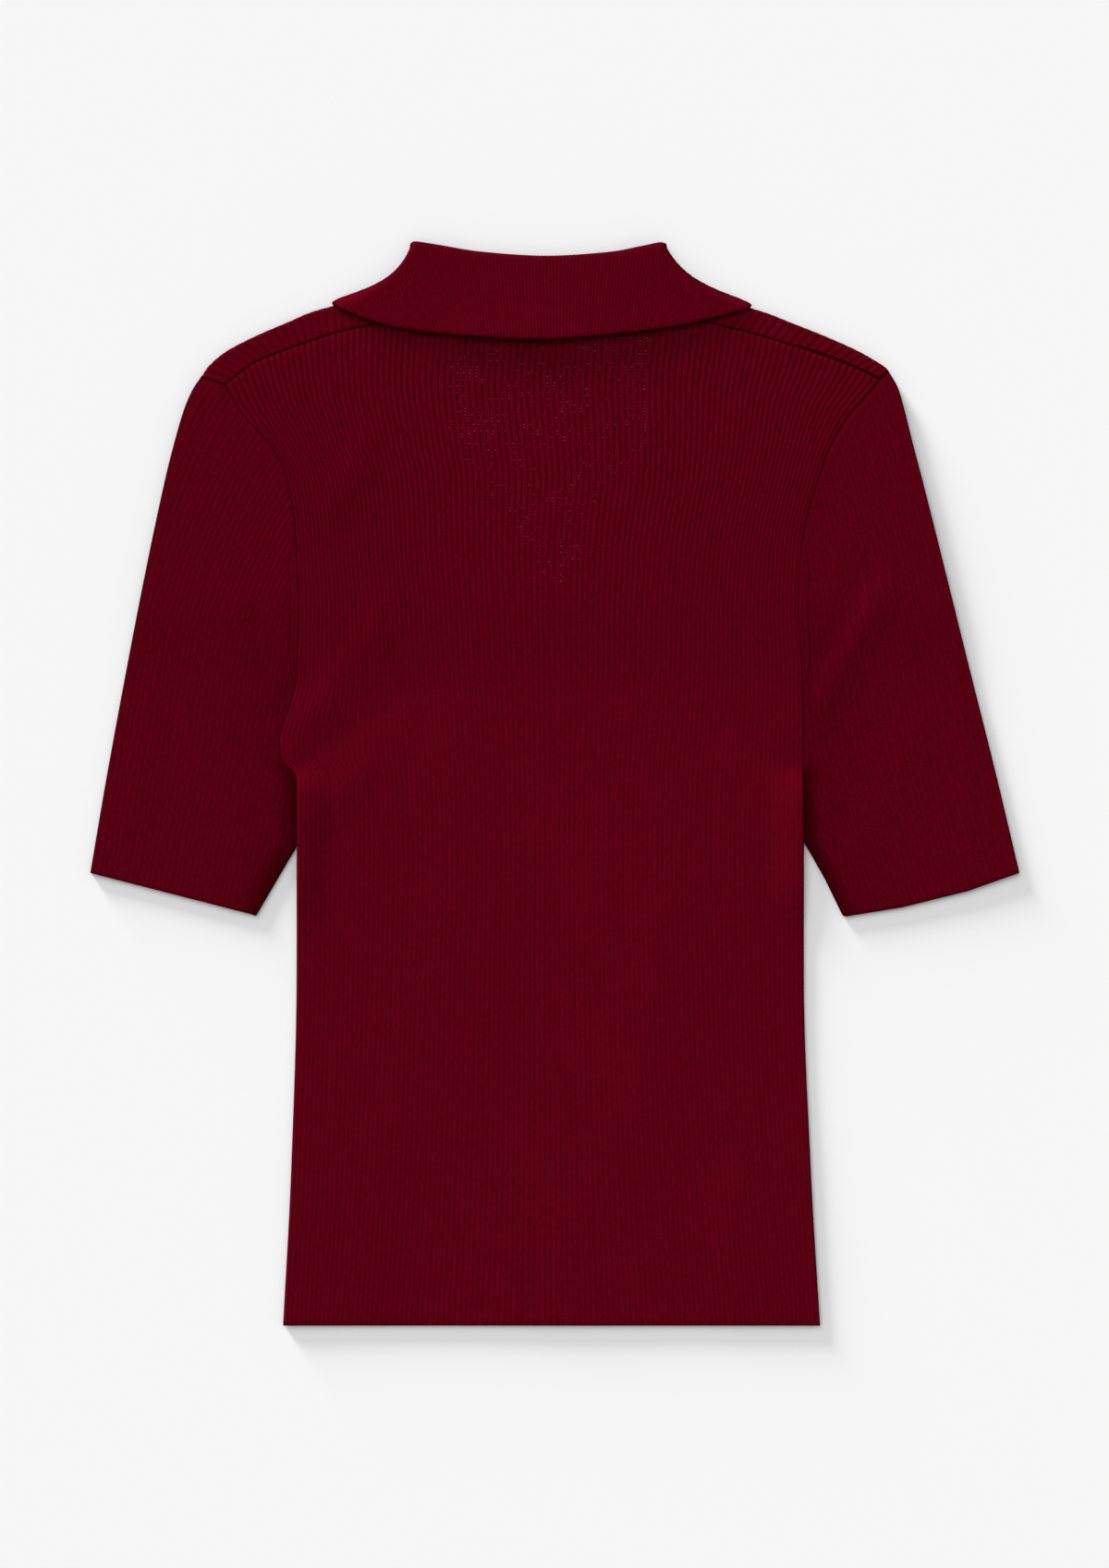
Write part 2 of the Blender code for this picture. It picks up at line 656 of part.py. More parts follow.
def sleeve_tube(name, sleeve, collection, material):
    bm = bmesh.new()
    outer, inner, turned, hollow = [], [], [], []
    for index, height in enumerate(SLEEVE_HEIGHTS):
        outside, inside = sleeve_layers(sleeve, height)
        if index <= CLOSED_TO:
            turn, turn_inside = sleeve_fold(outside, inside, sleeve)
            turned.append(turn)
            hollow.append(turn_inside)
        outer.append(outside)
        inner.append(inside)
    sign = sleeve.sign
    wall(bm, mirrored(outer, sign), mirrored(inner, sign), start_from=CLOSED_TO, end_from=CLOSED_TO)
    wall(bm, mirrored(turned, sign), mirrored(hollow, sign), start_from=CLOSED_TO, end_from=CLOSED_TO)
    return solid(bm, name, collection, material)


# Collar: a band from its seam up the stand, over the roll and down the fall

SEAM_LEVEL, SEAM_RADIUS = 3.0, 0.8
ROLL_LEVEL, ROLL_RADIUS = 3.2, 1.8
FALL_LEVEL, FALL_RADIUS = 3.4, 2.8
HAIRPIN, HAIRPIN_CHANGE = 1.0, 0.2
ROLL_STEPS = 4
EITHER_SIDE = 0.02            # of a place on the band, to find the cloth's direction there
SAMPLES = 600                 # of the free edge's length
COLLAR_SECTIONS = 56          # plain columns round the whole band
FALL_MIDDLES = ((0.3, 1.0), (0.62, 0.78))
FACING_UP = 0.2               # the least upward share of the cloth's normal that carries ribs
RIBBED_FROM = 3               # the path point at the top of the roll, where the ribs start


def smooth_turn(position):
    """The collar's section at a place between two rows of its table."""
    first = min(int(position), len(COLLAR) - 2)
    share = position - first
    rows = [COLLAR[min(max(first + k, 0), len(COLLAR) - 1)] for k in (-1, 0, 1, 2)]

    def blend(values):
        before, start, end, after = values
        out, back = (end - before) / 2, (after - start) / 2
        return (
            start * (2 * share**3 - 3 * share**2 + 1)
            + out * (share**3 - 2 * share**2 + share)
            + end * (3 * share**2 - 2 * share**3)
            + back * (share**3 - share**2)
        )

    def plan(column):
        return Vector([blend([getattr(row, column)[axis] for row in rows]) for axis in (0, 1)] + [0])

    def even(column):
        return getattr(rows[1], column) * (1 - share) + getattr(rows[2], column) * share

    return Turn(even("angle"), plan("seam"), plan("roll"), plan("edge"), even("bow"), even("lift"))


def collar_path(position):
    """Middle of the cloth from the seam to the free edge."""
    turn = smooth_turn(position)
    angle = math.radians(turn.angle)
    outward = Vector((-1 if position < len(COLLAR) / 2 else 1, 0, 0))
    fall_side = Vector((outward.x * math.sin(angle), 0, math.cos(angle)))
    up = (turn.roll - turn.seam).normalized()
    radius = HAIRPIN + HAIRPIN_CHANGE * math.cos(angle)
    seam = turn.seam + Vector((0, 0, SEAM_LEVEL + SEAM_RADIUS * math.cos(angle)))
    centre = turn.roll - up * (radius + WALL / 2)
    centre.z += ROLL_LEVEL + ROLL_RADIUS * math.cos(angle)
    edge = turn.edge + Vector((0, 0, FALL_LEVEL + FALL_RADIUS * math.cos(angle) + turn.lift))
    path = [seam]
    for step in range(ROLL_STEPS + 1):
        bend = math.pi * step / ROLL_STEPS - math.pi / 2
        path.append(centre + up * radius * math.cos(bend) + fall_side * radius * math.sin(bend))
    start = path[-1]
    run = edge - start
    inward = Vector((-run.y, run.x, 0)).normalized()
    if inward.x * outward.x > 0:
        inward = -inward
    for share, depth in FALL_MIDDLES:
        path.append(start + run * share + inward * (turn.bow * depth + WALL / 2 * math.sin(angle)))
    path.append(edge)
    return path


def collar_grid(positions):
    """Paths at these places with the cloth's normal at each point."""
    last = len(COLLAR) - 1
    paths = [collar_path(p) for p in positions]
    grid = []
    for place, path in zip(positions, paths):
        before = collar_path(max(place - EITHER_SIDE, 0))
        after = collar_path(min(place + EITHER_SIDE, last))
        normals = []
        for j, point in enumerate(path):
            ahead = path[min(j + 1, len(path) - 1)] - path[max(j - 1, 0)]
            across = after[j] - before[j]
            normals.append(ahead.cross(across).normalized())
        grid.append((place, path, normals))
    return grid


def collar(collection, material):
    bm = bmesh.new()
    last = len(COLLAR) - 1
    plain = collar_grid([last * k / COLLAR_SECTIONS for k in range(COLLAR_SECTIONS + 1)])
    ribbed = collar_grid(rib_places())
    side = 1 if plain[COLLAR_SECTIONS // 2][2][-1].z > 0 else -1
    outer, inner = [], []
    for j in range(len(plain[0][1])):
        if j < RIBBED_FROM:
            outer.append([(u, p[j] + n[j] * side * WALL / 2) for u, p, n in plain])
        else:
            row = []
            for index, (u, p, n) in enumerate(ribbed):
                rise = COLLAR_RIB_RISE if index % 2 and n[j].z * side > FACING_UP else 0.0
                row.append((u, p[j] + n[j] * side * (WALL / 2 + rise)))
            outer.append(row)
        inner.append([(u, p[j] - n[j] * side * WALL / 2) for u, p, n in plain])
    wall(bm, outer, inner)
    return solid(bm, "collar", collection, material)


def rib_places():
    """Columns along the band: plain steps in front, crest and trough of each rib where the fall shows."""
    last = len(COLLAR) - 1
    turns = [t.angle for t in COLLAR]
    start = turns.index(90)
    end = last - turns[::-1].index(90)
    step = last / COLLAR_SECTIONS
    front = [k * step for k in range(COLLAR_SECTIONS + 1)]
    spots = [start + (end - start) * k / SAMPLES for k in range(SAMPLES + 1)]
    edges = [collar_path(s)[-1] for s in spots]
    run = [0.0]
    for a, b in zip(edges, edges[1:]):
        run.append(run[-1] + math.dist(a[:2], b[:2]))
    places = []
    columns = 2 * COLLAR_RIBS
    at = 0
    for column in range(columns + 1):
        want = run[-1] * column / columns
        while at < SAMPLES - 1 and run[at + 1] < want:
            at += 1
        share = (want - run[at]) / (run[at + 1] - run[at])
        places.append(spots[at] + (spots[at + 1] - spots[at]) * share)
    return [p for p in front if p < start - step / 2] + places + [p for p in front if p > end + step / 2]


def main():
    for old in list(bpy.data.objects):
        bpy.data.objects.remove(old, do_unlink=True)
    collection = bpy.data.collections.new("rib_knit_top")
    bpy.context.scene.collection.children.link(collection)
    body_knit = knit_material("body_rib_knit", 0.92)
    collar_knit = knit_material("collar_rib_knit", 0.9)
    front_panel(collection, body_knit)
    back_panel(collection, body_knit)
    sleeve_tube("left_sleeve", LEFT_SLEEVE, collection, body_knit)
    sleeve_tube("right_sleeve", RIGHT_SLEEVE, collection, body_knit)
    collar(collection, collar_knit)


main()
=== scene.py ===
"""A dark-red rib-knit top with a folded collar, laid flat with its back up and seen from above."""

import math
from collections import namedtuple
from functools import partial

import bmesh
import bpy
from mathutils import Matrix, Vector


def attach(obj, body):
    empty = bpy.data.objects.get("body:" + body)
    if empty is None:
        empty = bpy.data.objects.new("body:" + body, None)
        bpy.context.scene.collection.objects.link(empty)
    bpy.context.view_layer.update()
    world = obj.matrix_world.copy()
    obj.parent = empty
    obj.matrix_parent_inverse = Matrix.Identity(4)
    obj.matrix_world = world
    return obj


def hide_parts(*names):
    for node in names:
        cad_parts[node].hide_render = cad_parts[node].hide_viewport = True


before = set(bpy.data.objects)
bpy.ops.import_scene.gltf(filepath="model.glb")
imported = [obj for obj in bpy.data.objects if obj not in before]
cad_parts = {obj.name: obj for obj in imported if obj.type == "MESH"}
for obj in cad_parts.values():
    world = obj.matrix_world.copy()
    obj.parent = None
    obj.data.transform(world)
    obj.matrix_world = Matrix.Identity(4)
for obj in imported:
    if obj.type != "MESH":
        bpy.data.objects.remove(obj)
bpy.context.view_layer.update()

MM = 0.001
MERGE = 1e-6                  # metres
SAME_COLUMN = 1e-6

# The garment's sizes, in millimetres, in the part's own frame
WALL = 1.2             # cloth between its troughs and its plain inside
RIB_RISE = 0.6         # crest over trough
LAYER_GAP = 0.4        # air between two layers that lie on each other
SEAM_GAP = -0.5        # two pieces sewn edge to edge are pressed into each other by this much
BACK_RIBS = 104
SLEEVE_RIBS = 33
WRAP_RIBS = 26
COLLAR_RIBS = 132

# Levels
STEP_UP = WALL + LAYER_GAP    # a layer lies this much over the one below it
RAMP_FOOT = 60.0              # the body climbs here onto the collar's front leaves
RAMP_HEAD = 100.7
RAMP_SOFT = 8                 # the climb starts and ends this much further out, softly
ROUND = 1.4                   # outer radius of a fold of two layers
EDGE_RADIUS = 1.5             # rounding of a panel's outer corner along its sides
SIDE_SHARE = 0.15             # of the wall, left at the very side

# Length
HEM = -304.9
SHOULDER_BASE = 188.6         # above this the rows follow the shoulder line
V_TIP = (1.7, RAMP_HEAD)

Side = namedtuple("Side", "y left right")
Point = namedtuple("Point", "x y")
Rib = namedtuple("Rib", "y pitch")
At = namedtuple("At", "y amount")
Turn = namedtuple("Turn", "angle seam roll edge bow lift")

# The body's folded sides and, above the underarm, the armhole seams on the back
BODY_SIDES = (
    Side(-304.9, -152.5, 149.4),
    Side(-219.1, -148.0, 144.3),
    Side(-109.9, -144.9, 140.3),
    Side(-32.9, -144.7, 140.2),
    Side(0.9, -144.6, 140.0),
    Side(26.0, -144.6, 140.2),
    Side(60.0, -144.6, 140.0),
    Side(100.7, -143.4, 137.6),
    Side(129.4, -144.7, 138.7),
    Side(150.2, -146.0, 142.1),
    Side(170.9, -149.6, 148.3),
    Side(188.6, -158.0, 154.6),
    Side(206.8, -174.1, 165.0),
    Side(217.2, -181.0, 174.3),
    Side(224.5, -185.0, 180.6),
    Side(227.6, -186.4, 182.7),
)
# The left side bulges out over the sleeve between two heights, on either side of the underarm
BULGE_FOOT, UNDERARM, BULGE_TOP = 0.9, 26.0, 60.0
BULGE_REACH = 0.25            # the share of the body's width that moves with it
# The back panel's top edge: shoulder seam, neck seam, shoulder seam
BACK_TOP = (
    Point(-185.0, 224.5),
    Point(-169.4, 236.5),
    Point(-150.7, 244.3),
    Point(-123.6, 253.6),
    Point(-100.8, 258.8),
    Point(-80.0, 264.6),
    Point(-70.0, 265.2),
    Point(-42.0, 264.3),
    Point(-5.0, 263.4),
    Point(30.0, 264.0),
    Point(52.0, 265.0),
    Point(61.5, 265.0),
    Point(85.9, 259.9),
    Point(109.3, 254.1),
    Point(133.3, 246.9),
    Point(155.6, 239.6),
    Point(172.2, 232.8),
    Point(182.7, 227.6),
)
NECK_START, NECK_END = 5, 11  # the rows of it where the neck seam starts and ends
# The fold where the front turns over each shoulder, from the sleeve to the neck
LEFT_FOLD = (
    Point(-198.4, 229.2),
    Point(-194.4, 235.4),
    Point(-184.5, 243.7),
    Point(-168.4, 252.1),
    Point(-149.1, 260.4),
    Point(-134.0, 266.6),
    Point(-103.9, 274.5),
    Point(-80.3, 283.4),
)
RIGHT_FOLD = (
    Point(188.0, 232.3),
    Point(185.3, 235.4),
    Point(171.2, 243.7),
    Point(152.5, 252.1),
    Point(131.7, 260.4),
    Point(115.6, 266.5),
    Point(86.0, 274.4),
    Point(61.8, 282.6),
)
# How far the top of a rib of the wrap lies from its foot on the seam towards the sleeve, y and both shifts
# as shares of the shoulder's length from the sleeve to the neck
WRAP_LEAN = (
    Side(0.0, 0.0, 0.0),
    Side(0.15, 0.006, 0.035),
    Side(0.3, -0.02, 0.027),
    Side(0.5, -0.042, 0.033),
    Side(0.65, -0.038, 0.045),
    Side(0.8, -0.012, 0.057),
    Side(0.92, 0.02, 0.06),
    Side(1.0, 0.0, 0.0),
)
Sleeve = namedtuple("Sleeve", "sign outer cuff notch cap_ribs top")
LEFT_SLEEVE = Sleeve(
    sign=-1,
    outer=(
        Point(261.4, -50.0),
        Point(252.1, 4.6),
        Point(236.5, 87.8),
        Point(219.3, 170.9),
        Point(214.1, 191.8),
        Point(207.9, 212.6),
        Point(203.2, 223.0),
        Point(199.0, 229.2),
    ),
    cuff=(Point(261.4, -50.0), Point(167.8, -74.0)),
    notch=(Point(167.8, -74.0), Point(145.0, -33.5)),
    cap_ribs=(
        Rib(RAMP_HEAD, 2.75),
        Rib(140.0, 3.0),
        Rib(181.0, 3.43),
        Rib(212.0, 3.64),
        Rib(232.0, 3.75),
    ),
    top=(Point(199.0, 229.2), Point(191.7, 226.1), Point(185.0, 224.5)),
)
RIGHT_SLEEVE = Sleeve(
    sign=1,
    outer=(
        Point(262.0, -49.9),
        Point(249.1, 4.6),
        Point(228.2, 87.8),
        Point(207.4, 170.9),
        Point(201.9, 191.8),
        Point(196.7, 212.6),
        Point(193.6, 223.0),
        Point(188.4, 232.3),
    ),
    cuff=(
        Point(262.0, -49.9),
        Point(233.1, -60.2),
        Point(195.6, -69.5),
        Point(164.4, -74.5),
        Point(162.4, -74.0),
    ),
    notch=(Point(162.4, -74.0), Point(152.6, -53.0), Point(140.5, -31.0)),
    cap_ribs=(
        Rib(RAMP_HEAD, 2.65),
        Rib(140.0, 2.9),
        Rib(181.0, 2.75),
        Rib(212.0, 3.2),
        Rib(232.0, 3.4),
    ),
    top=(Point(188.4, 232.3), Point(185.6, 230.0), Point(182.7, 227.6)),
)

# The collar from the left V tip round the neck to the right one. angle 0 is the back, with the fall on top;
# angle 180 is the front, with the leaf underneath. bow pulls the fall's middle in; lift raises its edge.
COLLAR = (
    Turn(180, (-5.3, 109.3), (-1.5, 110.6), (-36.0, 110.5), 0, 0),
    Turn(180, (-37.3, 147.2), (-31.1, 150.1), (-71.6, 134.6), 0, 0),
    Turn(180, (-67.4, 193.8), (-57.6, 196.9), (-104.9, 181.3), 0, 0),
    Turn(180, (-72.7, 232.3), (-60.7, 233.4), (-115.3, 227.1), 0, 0),
    Turn(180, (-78.0, 275.0), (-73.0, 281.0), (-121.5, 262.0), 2, 0),
    Turn(150, (-78.6, 281.5), (-77.4, 298.0), (-124.0, 268.4), 4.6, 0),
    Turn(120, (-78.8, 285.0), (-78.8, 303.3), (-125.0, 270.4), 5.9, 0),
    Turn(90, (-78.8, 286.0), (-79.5, 304.8), (-125.4, 271.3), 6.5, 0),
    Turn(60, (-78.4, 285.0), (-79.4, 305.1), (-123.8, 270.0), 5.9, 0),
    Turn(30, (-77.9, 281.5), (-78.6, 305.3), (-120.0, 267.6), 4.7, 0),
    Turn(0, (-77.4, 275.0), (-76.8, 305.3), (-113.0, 264.4), 2.7, 0),
    Turn(0, (-75.5, 266.2), (-72.0, 304.6), (-101.5, 260.0), 1.2, 0.3),
    Turn(0, (-67.0, 265.6), (-64.0, 303.3), (-83.0, 255.8), 0.4, 0.8),
    Turn(0, (-41.5, 264.7), (-41.0, 299.6), (-49.5, 251.9), 0, 1.8),
    Turn(0, (-5.0, 263.8), (-5.0, 297.3), (-5.0, 250.0), 0, 2.4),
    Turn(0, (30.0, 264.4), (30.0, 299.4), (35.0, 253.2), 0, 1.8),
    Turn(0, (49.5, 265.4), (49.0, 302.8), (68.0, 257.4), 0.4, 0.8),
    Turn(0, (57.5, 265.8), (56.5, 304.4), (86.0, 261.4), 1.0, 0.3),
    Turn(0, (59.0, 274.0), (59.4, 304.9), (100.5, 265.2), 2.6, 0),
    Turn(30, (59.2, 280.5), (60.6, 304.8), (107.0, 267.0), 4.2, 0),
    Turn(60, (59.6, 284.2), (61.5, 304.7), (110.0, 268.4), 5.1, 0),
    Turn(90, (60.0, 285.2), (61.8, 304.4), (111.4, 270.0), 5.5, 0),
    Turn(120, (59.9, 284.2), (61.4, 302.8), (110.9, 269.2), 5.1, 0),
    Turn(150, (59.7, 280.5), (60.6, 297.3), (109.9, 267.2), 4.2, 0),
    Turn(180, (60.3, 274.0), (58.4, 280.0), (107.0, 260.0), 2, 0),
    Turn(180, (60.5, 232.3), (54.2, 233.4), (98.9, 225.5), 0, 0),
    Turn(180, (58.4, 193.8), (52.1, 191.7), (94.8, 176.1), 0, 0),
    Turn(180, (42.8, 147.2), (35.0, 150.1), (75.5, 133.5), 0, 0),
    Turn(180, (8.1, 109.3), (4.9, 110.6), (41.7, 109.5), 0, 0),
)

# Fineness of the cloth that is shown
ROW = 4.4                     # along a rib
A_RIB = 6                     # columns to a rib
COURSE = 1.8                  # height of a knitted course
# How far the body's left edge stands out over the sleeve at the underarm
UNDERARM_EDGE = (
    At(1.0, 0.0),
    At(6.0, 1.2),
    At(10.0, 6.0),
    At(15.0, 9.0),
    At(24.0, 10.0),
    At(38.0, 6.2),
    At(50.0, 2.2),
    At(60.0, 0.0),
)


def linear(table, column, value):
    """The table's column at this y, straight between rows and along the end rows' slope beyond."""
    rows = sorted(table, key=lambda row: row.y)
    below = 0
    while below < len(rows) - 2 and rows[below + 1].y < value:
        below += 1
    low, high = rows[below], rows[below + 1]
    share = (value - low.y) / (high.y - low.y)
    return getattr(low, column) * (1 - share) + getattr(high, column) * share


def bulge(side, y, share):
    """How far a side's bulge moves a place that is this share of the width in from the side."""
    if side == "right" or not BULGE_FOOT < y < BULGE_TOP:
        return 0.0
    return curve(UNDERARM_EDGE, "amount", y) * soft(1 - share / BULGE_REACH)


def along(points, share):
    """The place this share of the way along a line of points, and of its length."""
    spans = [math.dist(a, b) for a, b in zip(points, points[1:])]
    left = share * sum(spans)
    for span, a, b in zip(spans, points, points[1:]):
        if left <= span or b is points[-1]:
            part = left / span
            return Point(a.x + (b.x - a.x) * part, a.y + (b.y - a.y) * part)
        left -= span
    return points[-1]


def height_at(points, x):
    """The y of a line of points that runs across, at this x."""
    rows = sorted(points)
    right = 1
    while right < len(rows) - 1 and rows[right].x < x:
        right += 1
    a, b = rows[right - 1], rows[right]
    return a.y + (b.y - a.y) * (x - a.x) / (b.x - a.x)


def rounding(inset):
    """The share of the wall that is left this far in from a panel's side."""
    reach = min(max(inset / EDGE_RADIUS, 0.0), 1.0)
    return SIDE_SHARE + (1 - SIDE_SHARE) * math.sqrt(1 - (1 - reach) ** 2)


def curve(table, column, value):
    """The table's column at this y, on a smooth line that never overshoots its rows."""
    rows = sorted(table, key=lambda row: row.y)
    if value <= rows[0].y or value >= rows[-1].y:
        return linear(table, column, value)
    at = 0
    while rows[at + 1].y < value:
        at += 1

    def slope(k):
        return (getattr(rows[k + 1], column) - getattr(rows[k], column)) / (rows[k + 1].y - rows[k].y)

    def tangent(k):
        if k in (0, len(rows) - 1):
            return slope(min(k, len(rows) - 2))
        one, two = slope(k - 1), slope(k)
        return 0.0 if one * two <= 0 else 2 * one * two / (one + two)

    low, high = rows[at], rows[at + 1]
    span = high.y - low.y
    t = (value - low.y) / span
    return (
        getattr(low, column) * (1 + 2 * t) * (1 - t) ** 2
        + tangent(at) * span * t * (1 - t) ** 2
        + getattr(high, column) * t * t * (3 - 2 * t)
        + tangent(at + 1) * span * t * t * (t - 1)
    )


def between(before, start, end, after, t):
    """A smooth value, this share of the way from start to end."""
    out, back = (end - before) / 2, (after - start) / 2
    return (
        start * (2 * t**3 - 3 * t**2 + 1)
        + out * (t**3 - 2 * t**2 + t)
        + end * (3 * t**2 - 2 * t**3)
        + back * (t**3 - t**2)
    )


def neighbours(rows, k):
    """The rows before, at, after and two after this one, inside the table."""
    return [rows[min(max(k + j, 0), len(rows) - 1)] for j in (-1, 0, 1, 2)]


def rounded(points, steps):
    """A line of points with a smooth curve between them."""
    line = []
    for k in range(len(points) - 1):
        near = neighbours(points, k)
        for step in range(steps):
            line.append(Point(*(between(*(point[axis] for point in near), step / steps) for axis in (0, 1))))
    return line + [points[-1]]


def crest(rib):
    """The share of a rib's rise at this place, counted in ribs: a broad crest between narrow troughs."""
    return 1 - (1 - abs(math.sin(math.pi * rib))) ** 2


def soft(t):
    """0 to 1, with a level start and end."""
    t = min(max(t, 0.0), 1.0)
    return t * t * (3 - 2 * t)


# Soft creases: a ridge (or a trough, where rise is negative) from one end to the other
Crease = namedtuple("Crease", "x1 y1 x2 y2 width rise")
BODY_CREASES = (
    Crease(-142, 30, -96, 92, 11, 0.7),
    Crease(-140, 12, -88, 52, 10, -0.5),
    Crease(-141, -22, -104, 8, 9, 0.45),
    Crease(138, 26, 98, 84, 12, 0.6),
    Crease(137, 2, 92, 40, 10, -0.45),
    Crease(-128, 150, -96, 205, 10, 0.5),
    Crease(126, 146, 98, 206, 11, 0.5),
    Crease(-60, -120, -52, 40, 18, 0.35),
    Crease(48, -210, 66, -60, 20, 0.35),
    Crease(-104, -285, -92, -190, 14, 0.4),
    Crease(12, -296, 4, -236, 12, 0.35),
    Crease(104, -292, 98, -226, 12, 0.4),
)
SLEEVE_CREASES = (
    Crease(150, 44, 186, 108, 9, 0.6),
    Crease(152, 70, 178, 128, 8, -0.4),
    Crease(168, -40, 206, 30, 13, 0.4),
    Crease(236, -20, 226, 60, 10, 0.35),
)


# Shares of its length: how far a crease runs past its two ends, and over what it fades out there
CREASE_PAST, CREASE_FADE = 0.3, 0.5
UNEVEN = 0.12                 # height of each of the two slow waves in smoothed-out knit


def creased(creases, x, y):
    """The height that the creases add here."""
    height = 0.0
    for crease in creases:
        run_x, run_y = crease.x2 - crease.x1, crease.y2 - crease.y1
        length = math.hypot(run_x, run_y)
        on = ((x - crease.x1) * run_x + (y - crease.y1) * run_y) / length**2
        if -CREASE_PAST < on < 1 + CREASE_PAST:
            off = ((x - crease.x1) * run_y - (y - crease.y1) * run_x) / length
            ends = soft((on + CREASE_PAST) / CREASE_FADE) * soft((1 + CREASE_PAST - on) / CREASE_FADE)
            height += crease.rise * ends * math.exp(-((off / crease.width) ** 2))
    return height


def uneven(x, y):
    """A slow unevenness, as knit has when it is smoothed out by hand: two waves that wander."""
    first = math.sin(x / 23 + 1.7 * math.sin(y / 61))
    second = math.sin(y / 37 + 1.3 * math.sin(x / 47) + 2)
    return UNEVEN * first + UNEVEN * second


# How much painted shade darkens the cloth where it turns down at an edge, and the slopes where that is full
# and where it starts. Along a seam most of it is left out.
EDGE_SHADE, EDGE_STEEP, EDGE_FLAT = 0.85, 0.3, 0.98
AT_SEAM_LESS = 0.7


class Cloth:
    """A mesh from rows of (u, place, knit): u orders a row, place is in mm, and knit is (ribs, courses)."""

    def __init__(self):
        self.points, self.knit, self.faces = [], [], []

    def skin(self, rows):
        """Takes in the rows' points, and gives each row as (u, number of the point)."""
        numbered = []
        for row in rows:
            numbers = []
            for u, place, knit in row:
                numbers.append((u, len(self.points)))
                self.points.append((place[0] * MM, place[1] * MM, place[2] * MM))
                self.knit.append(knit)
            numbered.append(numbers)
        return numbered

    def bridge(self, first, second):
        """Faces between two rows, which may have different columns."""
        i = j = 0
        while i < len(first) - 1 or j < len(second) - 1:
            next_i = first[i + 1][0] if i < len(first) - 1 else math.inf
            next_j = second[j + 1][0] if j < len(second) - 1 else math.inf
            if abs(next_i - next_j) < SAME_COLUMN:
                self.faces.append((first[i][1], first[i + 1][1], second[j + 1][1], second[j][1]))
                i, j = i + 1, j + 1
            elif next_i < next_j:
                self.faces.append((first[i][1], first[i + 1][1], second[j][1]))
                i += 1
            else:
                self.faces.append((first[i][1], second[j + 1][1], second[j][1]))
                j += 1

    def wall(self, outer, inner, first=True, last=True, start_from=0, end_from=0):
        """A wall between two skins, closed except where first, last, start_from or end_from leave it open."""
        outer = self.skin(outer)
        inner = self.skin(inner)
        for rows in (outer, inner):
            for one, other in zip(rows, rows[1:]):
                self.bridge(one, other)
        if first:
            self.bridge(outer[0], inner[0])
        if last:
            self.bridge(outer[-1], inner[-1])
        for end, begin in ((0, start_from), (-1, end_from)):
            one = [(k, row[end][1]) for k, row in enumerate(outer)][begin:]
            other = [(k, row[end][1]) for k, row in enumerate(inner)][begin:]
            if len(one) > 1:
                self.bridge(one, other)

    def marked(self, name, marks):
        """The mesh with each mark as an attribute and its place in the knit as a UV map."""
        mesh = bpy.data.meshes.new(name)
        mesh.from_pydata(self.points, [], self.faces)
        for mark, strength in marks.items():
            values = [strength(x / MM, y / MM) for x, y, _ in self.points]
            mesh.attributes.new(mark, "FLOAT", "POINT").data.foreach_set("value", values)
        layer = mesh.uv_layers.new(name="knit")
        values = [0.0] * (2 * len(mesh.loops))
        for loop in mesh.loops:
            values[2 * loop.index], values[2 * loop.index + 1] = self.knit[loop.vertex_index]
        layer.data.foreach_set("uv", values)
        return mesh

    def finish(self, name, node, material, marks):
        """The closed, smooth object, dressed, attached to the root, with its node's part hidden."""
        mesh = self.marked(name, marks)
        bm = bmesh.new()
        bm.from_mesh(mesh)
        bmesh.ops.remove_doubles(bm, verts=bm.verts, dist=MERGE)
        bmesh.ops.recalc_face_normals(bm, faces=bm.faces)
        if bm.calc_volume(signed=True) < 0:
            bmesh.ops.reverse_faces(bm, faces=bm.faces)
        for face in bm.faces:
            face.smooth = True
        bm.to_mesh(mesh)
        bm.free()
        darken_edges(mesh)
        mesh.materials.append(material)
        obj = bpy.data.objects.new(name, mesh)
        bpy.context.scene.collection.objects.link(obj)
        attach(obj, "root")
        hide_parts(node)
        return obj


def darken_edges(mesh):
    """Paints shade on the cloth where it turns down at an edge, keeping light off it."""
    for vertex, shade in zip(mesh.vertices, mesh.attributes["shade"].data):
        steep = 1 - soft((abs(vertex.normal.z) - EDGE_STEEP) / (EDGE_FLAT - EDGE_STEEP))
        at_seam = seam_line(vertex.co.x / MM, vertex.co.y / MM)
        shade.value = both(shade.value, EDGE_SHADE * steep * (1 - AT_SEAM_LESS * at_seam))


# Painted shades: shares of the light kept off, painted into the cloth's colour. First the widths of the dark
# lines under the collar's edge and along the seams, and how dark they are.
FALL_SHADE_ABOVE, FALL_SHADE = 1.2, 5.0
SEAM_SHADE = 1.2
UNDER_COLLAR, ON_BACK_SEAM, ON_WRAP_SEAM, ON_ARMHOLE, ON_TOP_SEAM = 0.75, 0.25, 0.15, 0.4, 0.5

# Where no front lies behind the back, and light comes through its stitches
OPEN_V = (
    Side(101.0, 3.0, 4.0),
    Side(116.0, -6.0, 17.0),
    Side(152.0, -31.0, 37.0),
    Side(171.0, -49.0, 44.0),
    Side(192.0, -60.0, 53.5),
    Side(264.0, -61.0, 54.0),
)
FALL_EDGE = sorted(Point(*turn.edge) for turn in COLLAR if turn.angle <= 60)


V_FADE = 4.0                  # width over which the light through the stitches starts at the V's edges
THIN = 0.45
THIN_ABOVE, THIN_ABOVE_SOFT = 175.0, 30.0     # two upright bands are thinner than the rest above here
THIN_BANDS = ((-47.0, 9.0, 1.0), (50.0, 7.0, 0.6))     # x, width and strength
THIN_ROW, THIN_ROW_WIDTH, THIN_ROW_MORE = 236.0, 8.0, 0.6     # and thinner still at this height


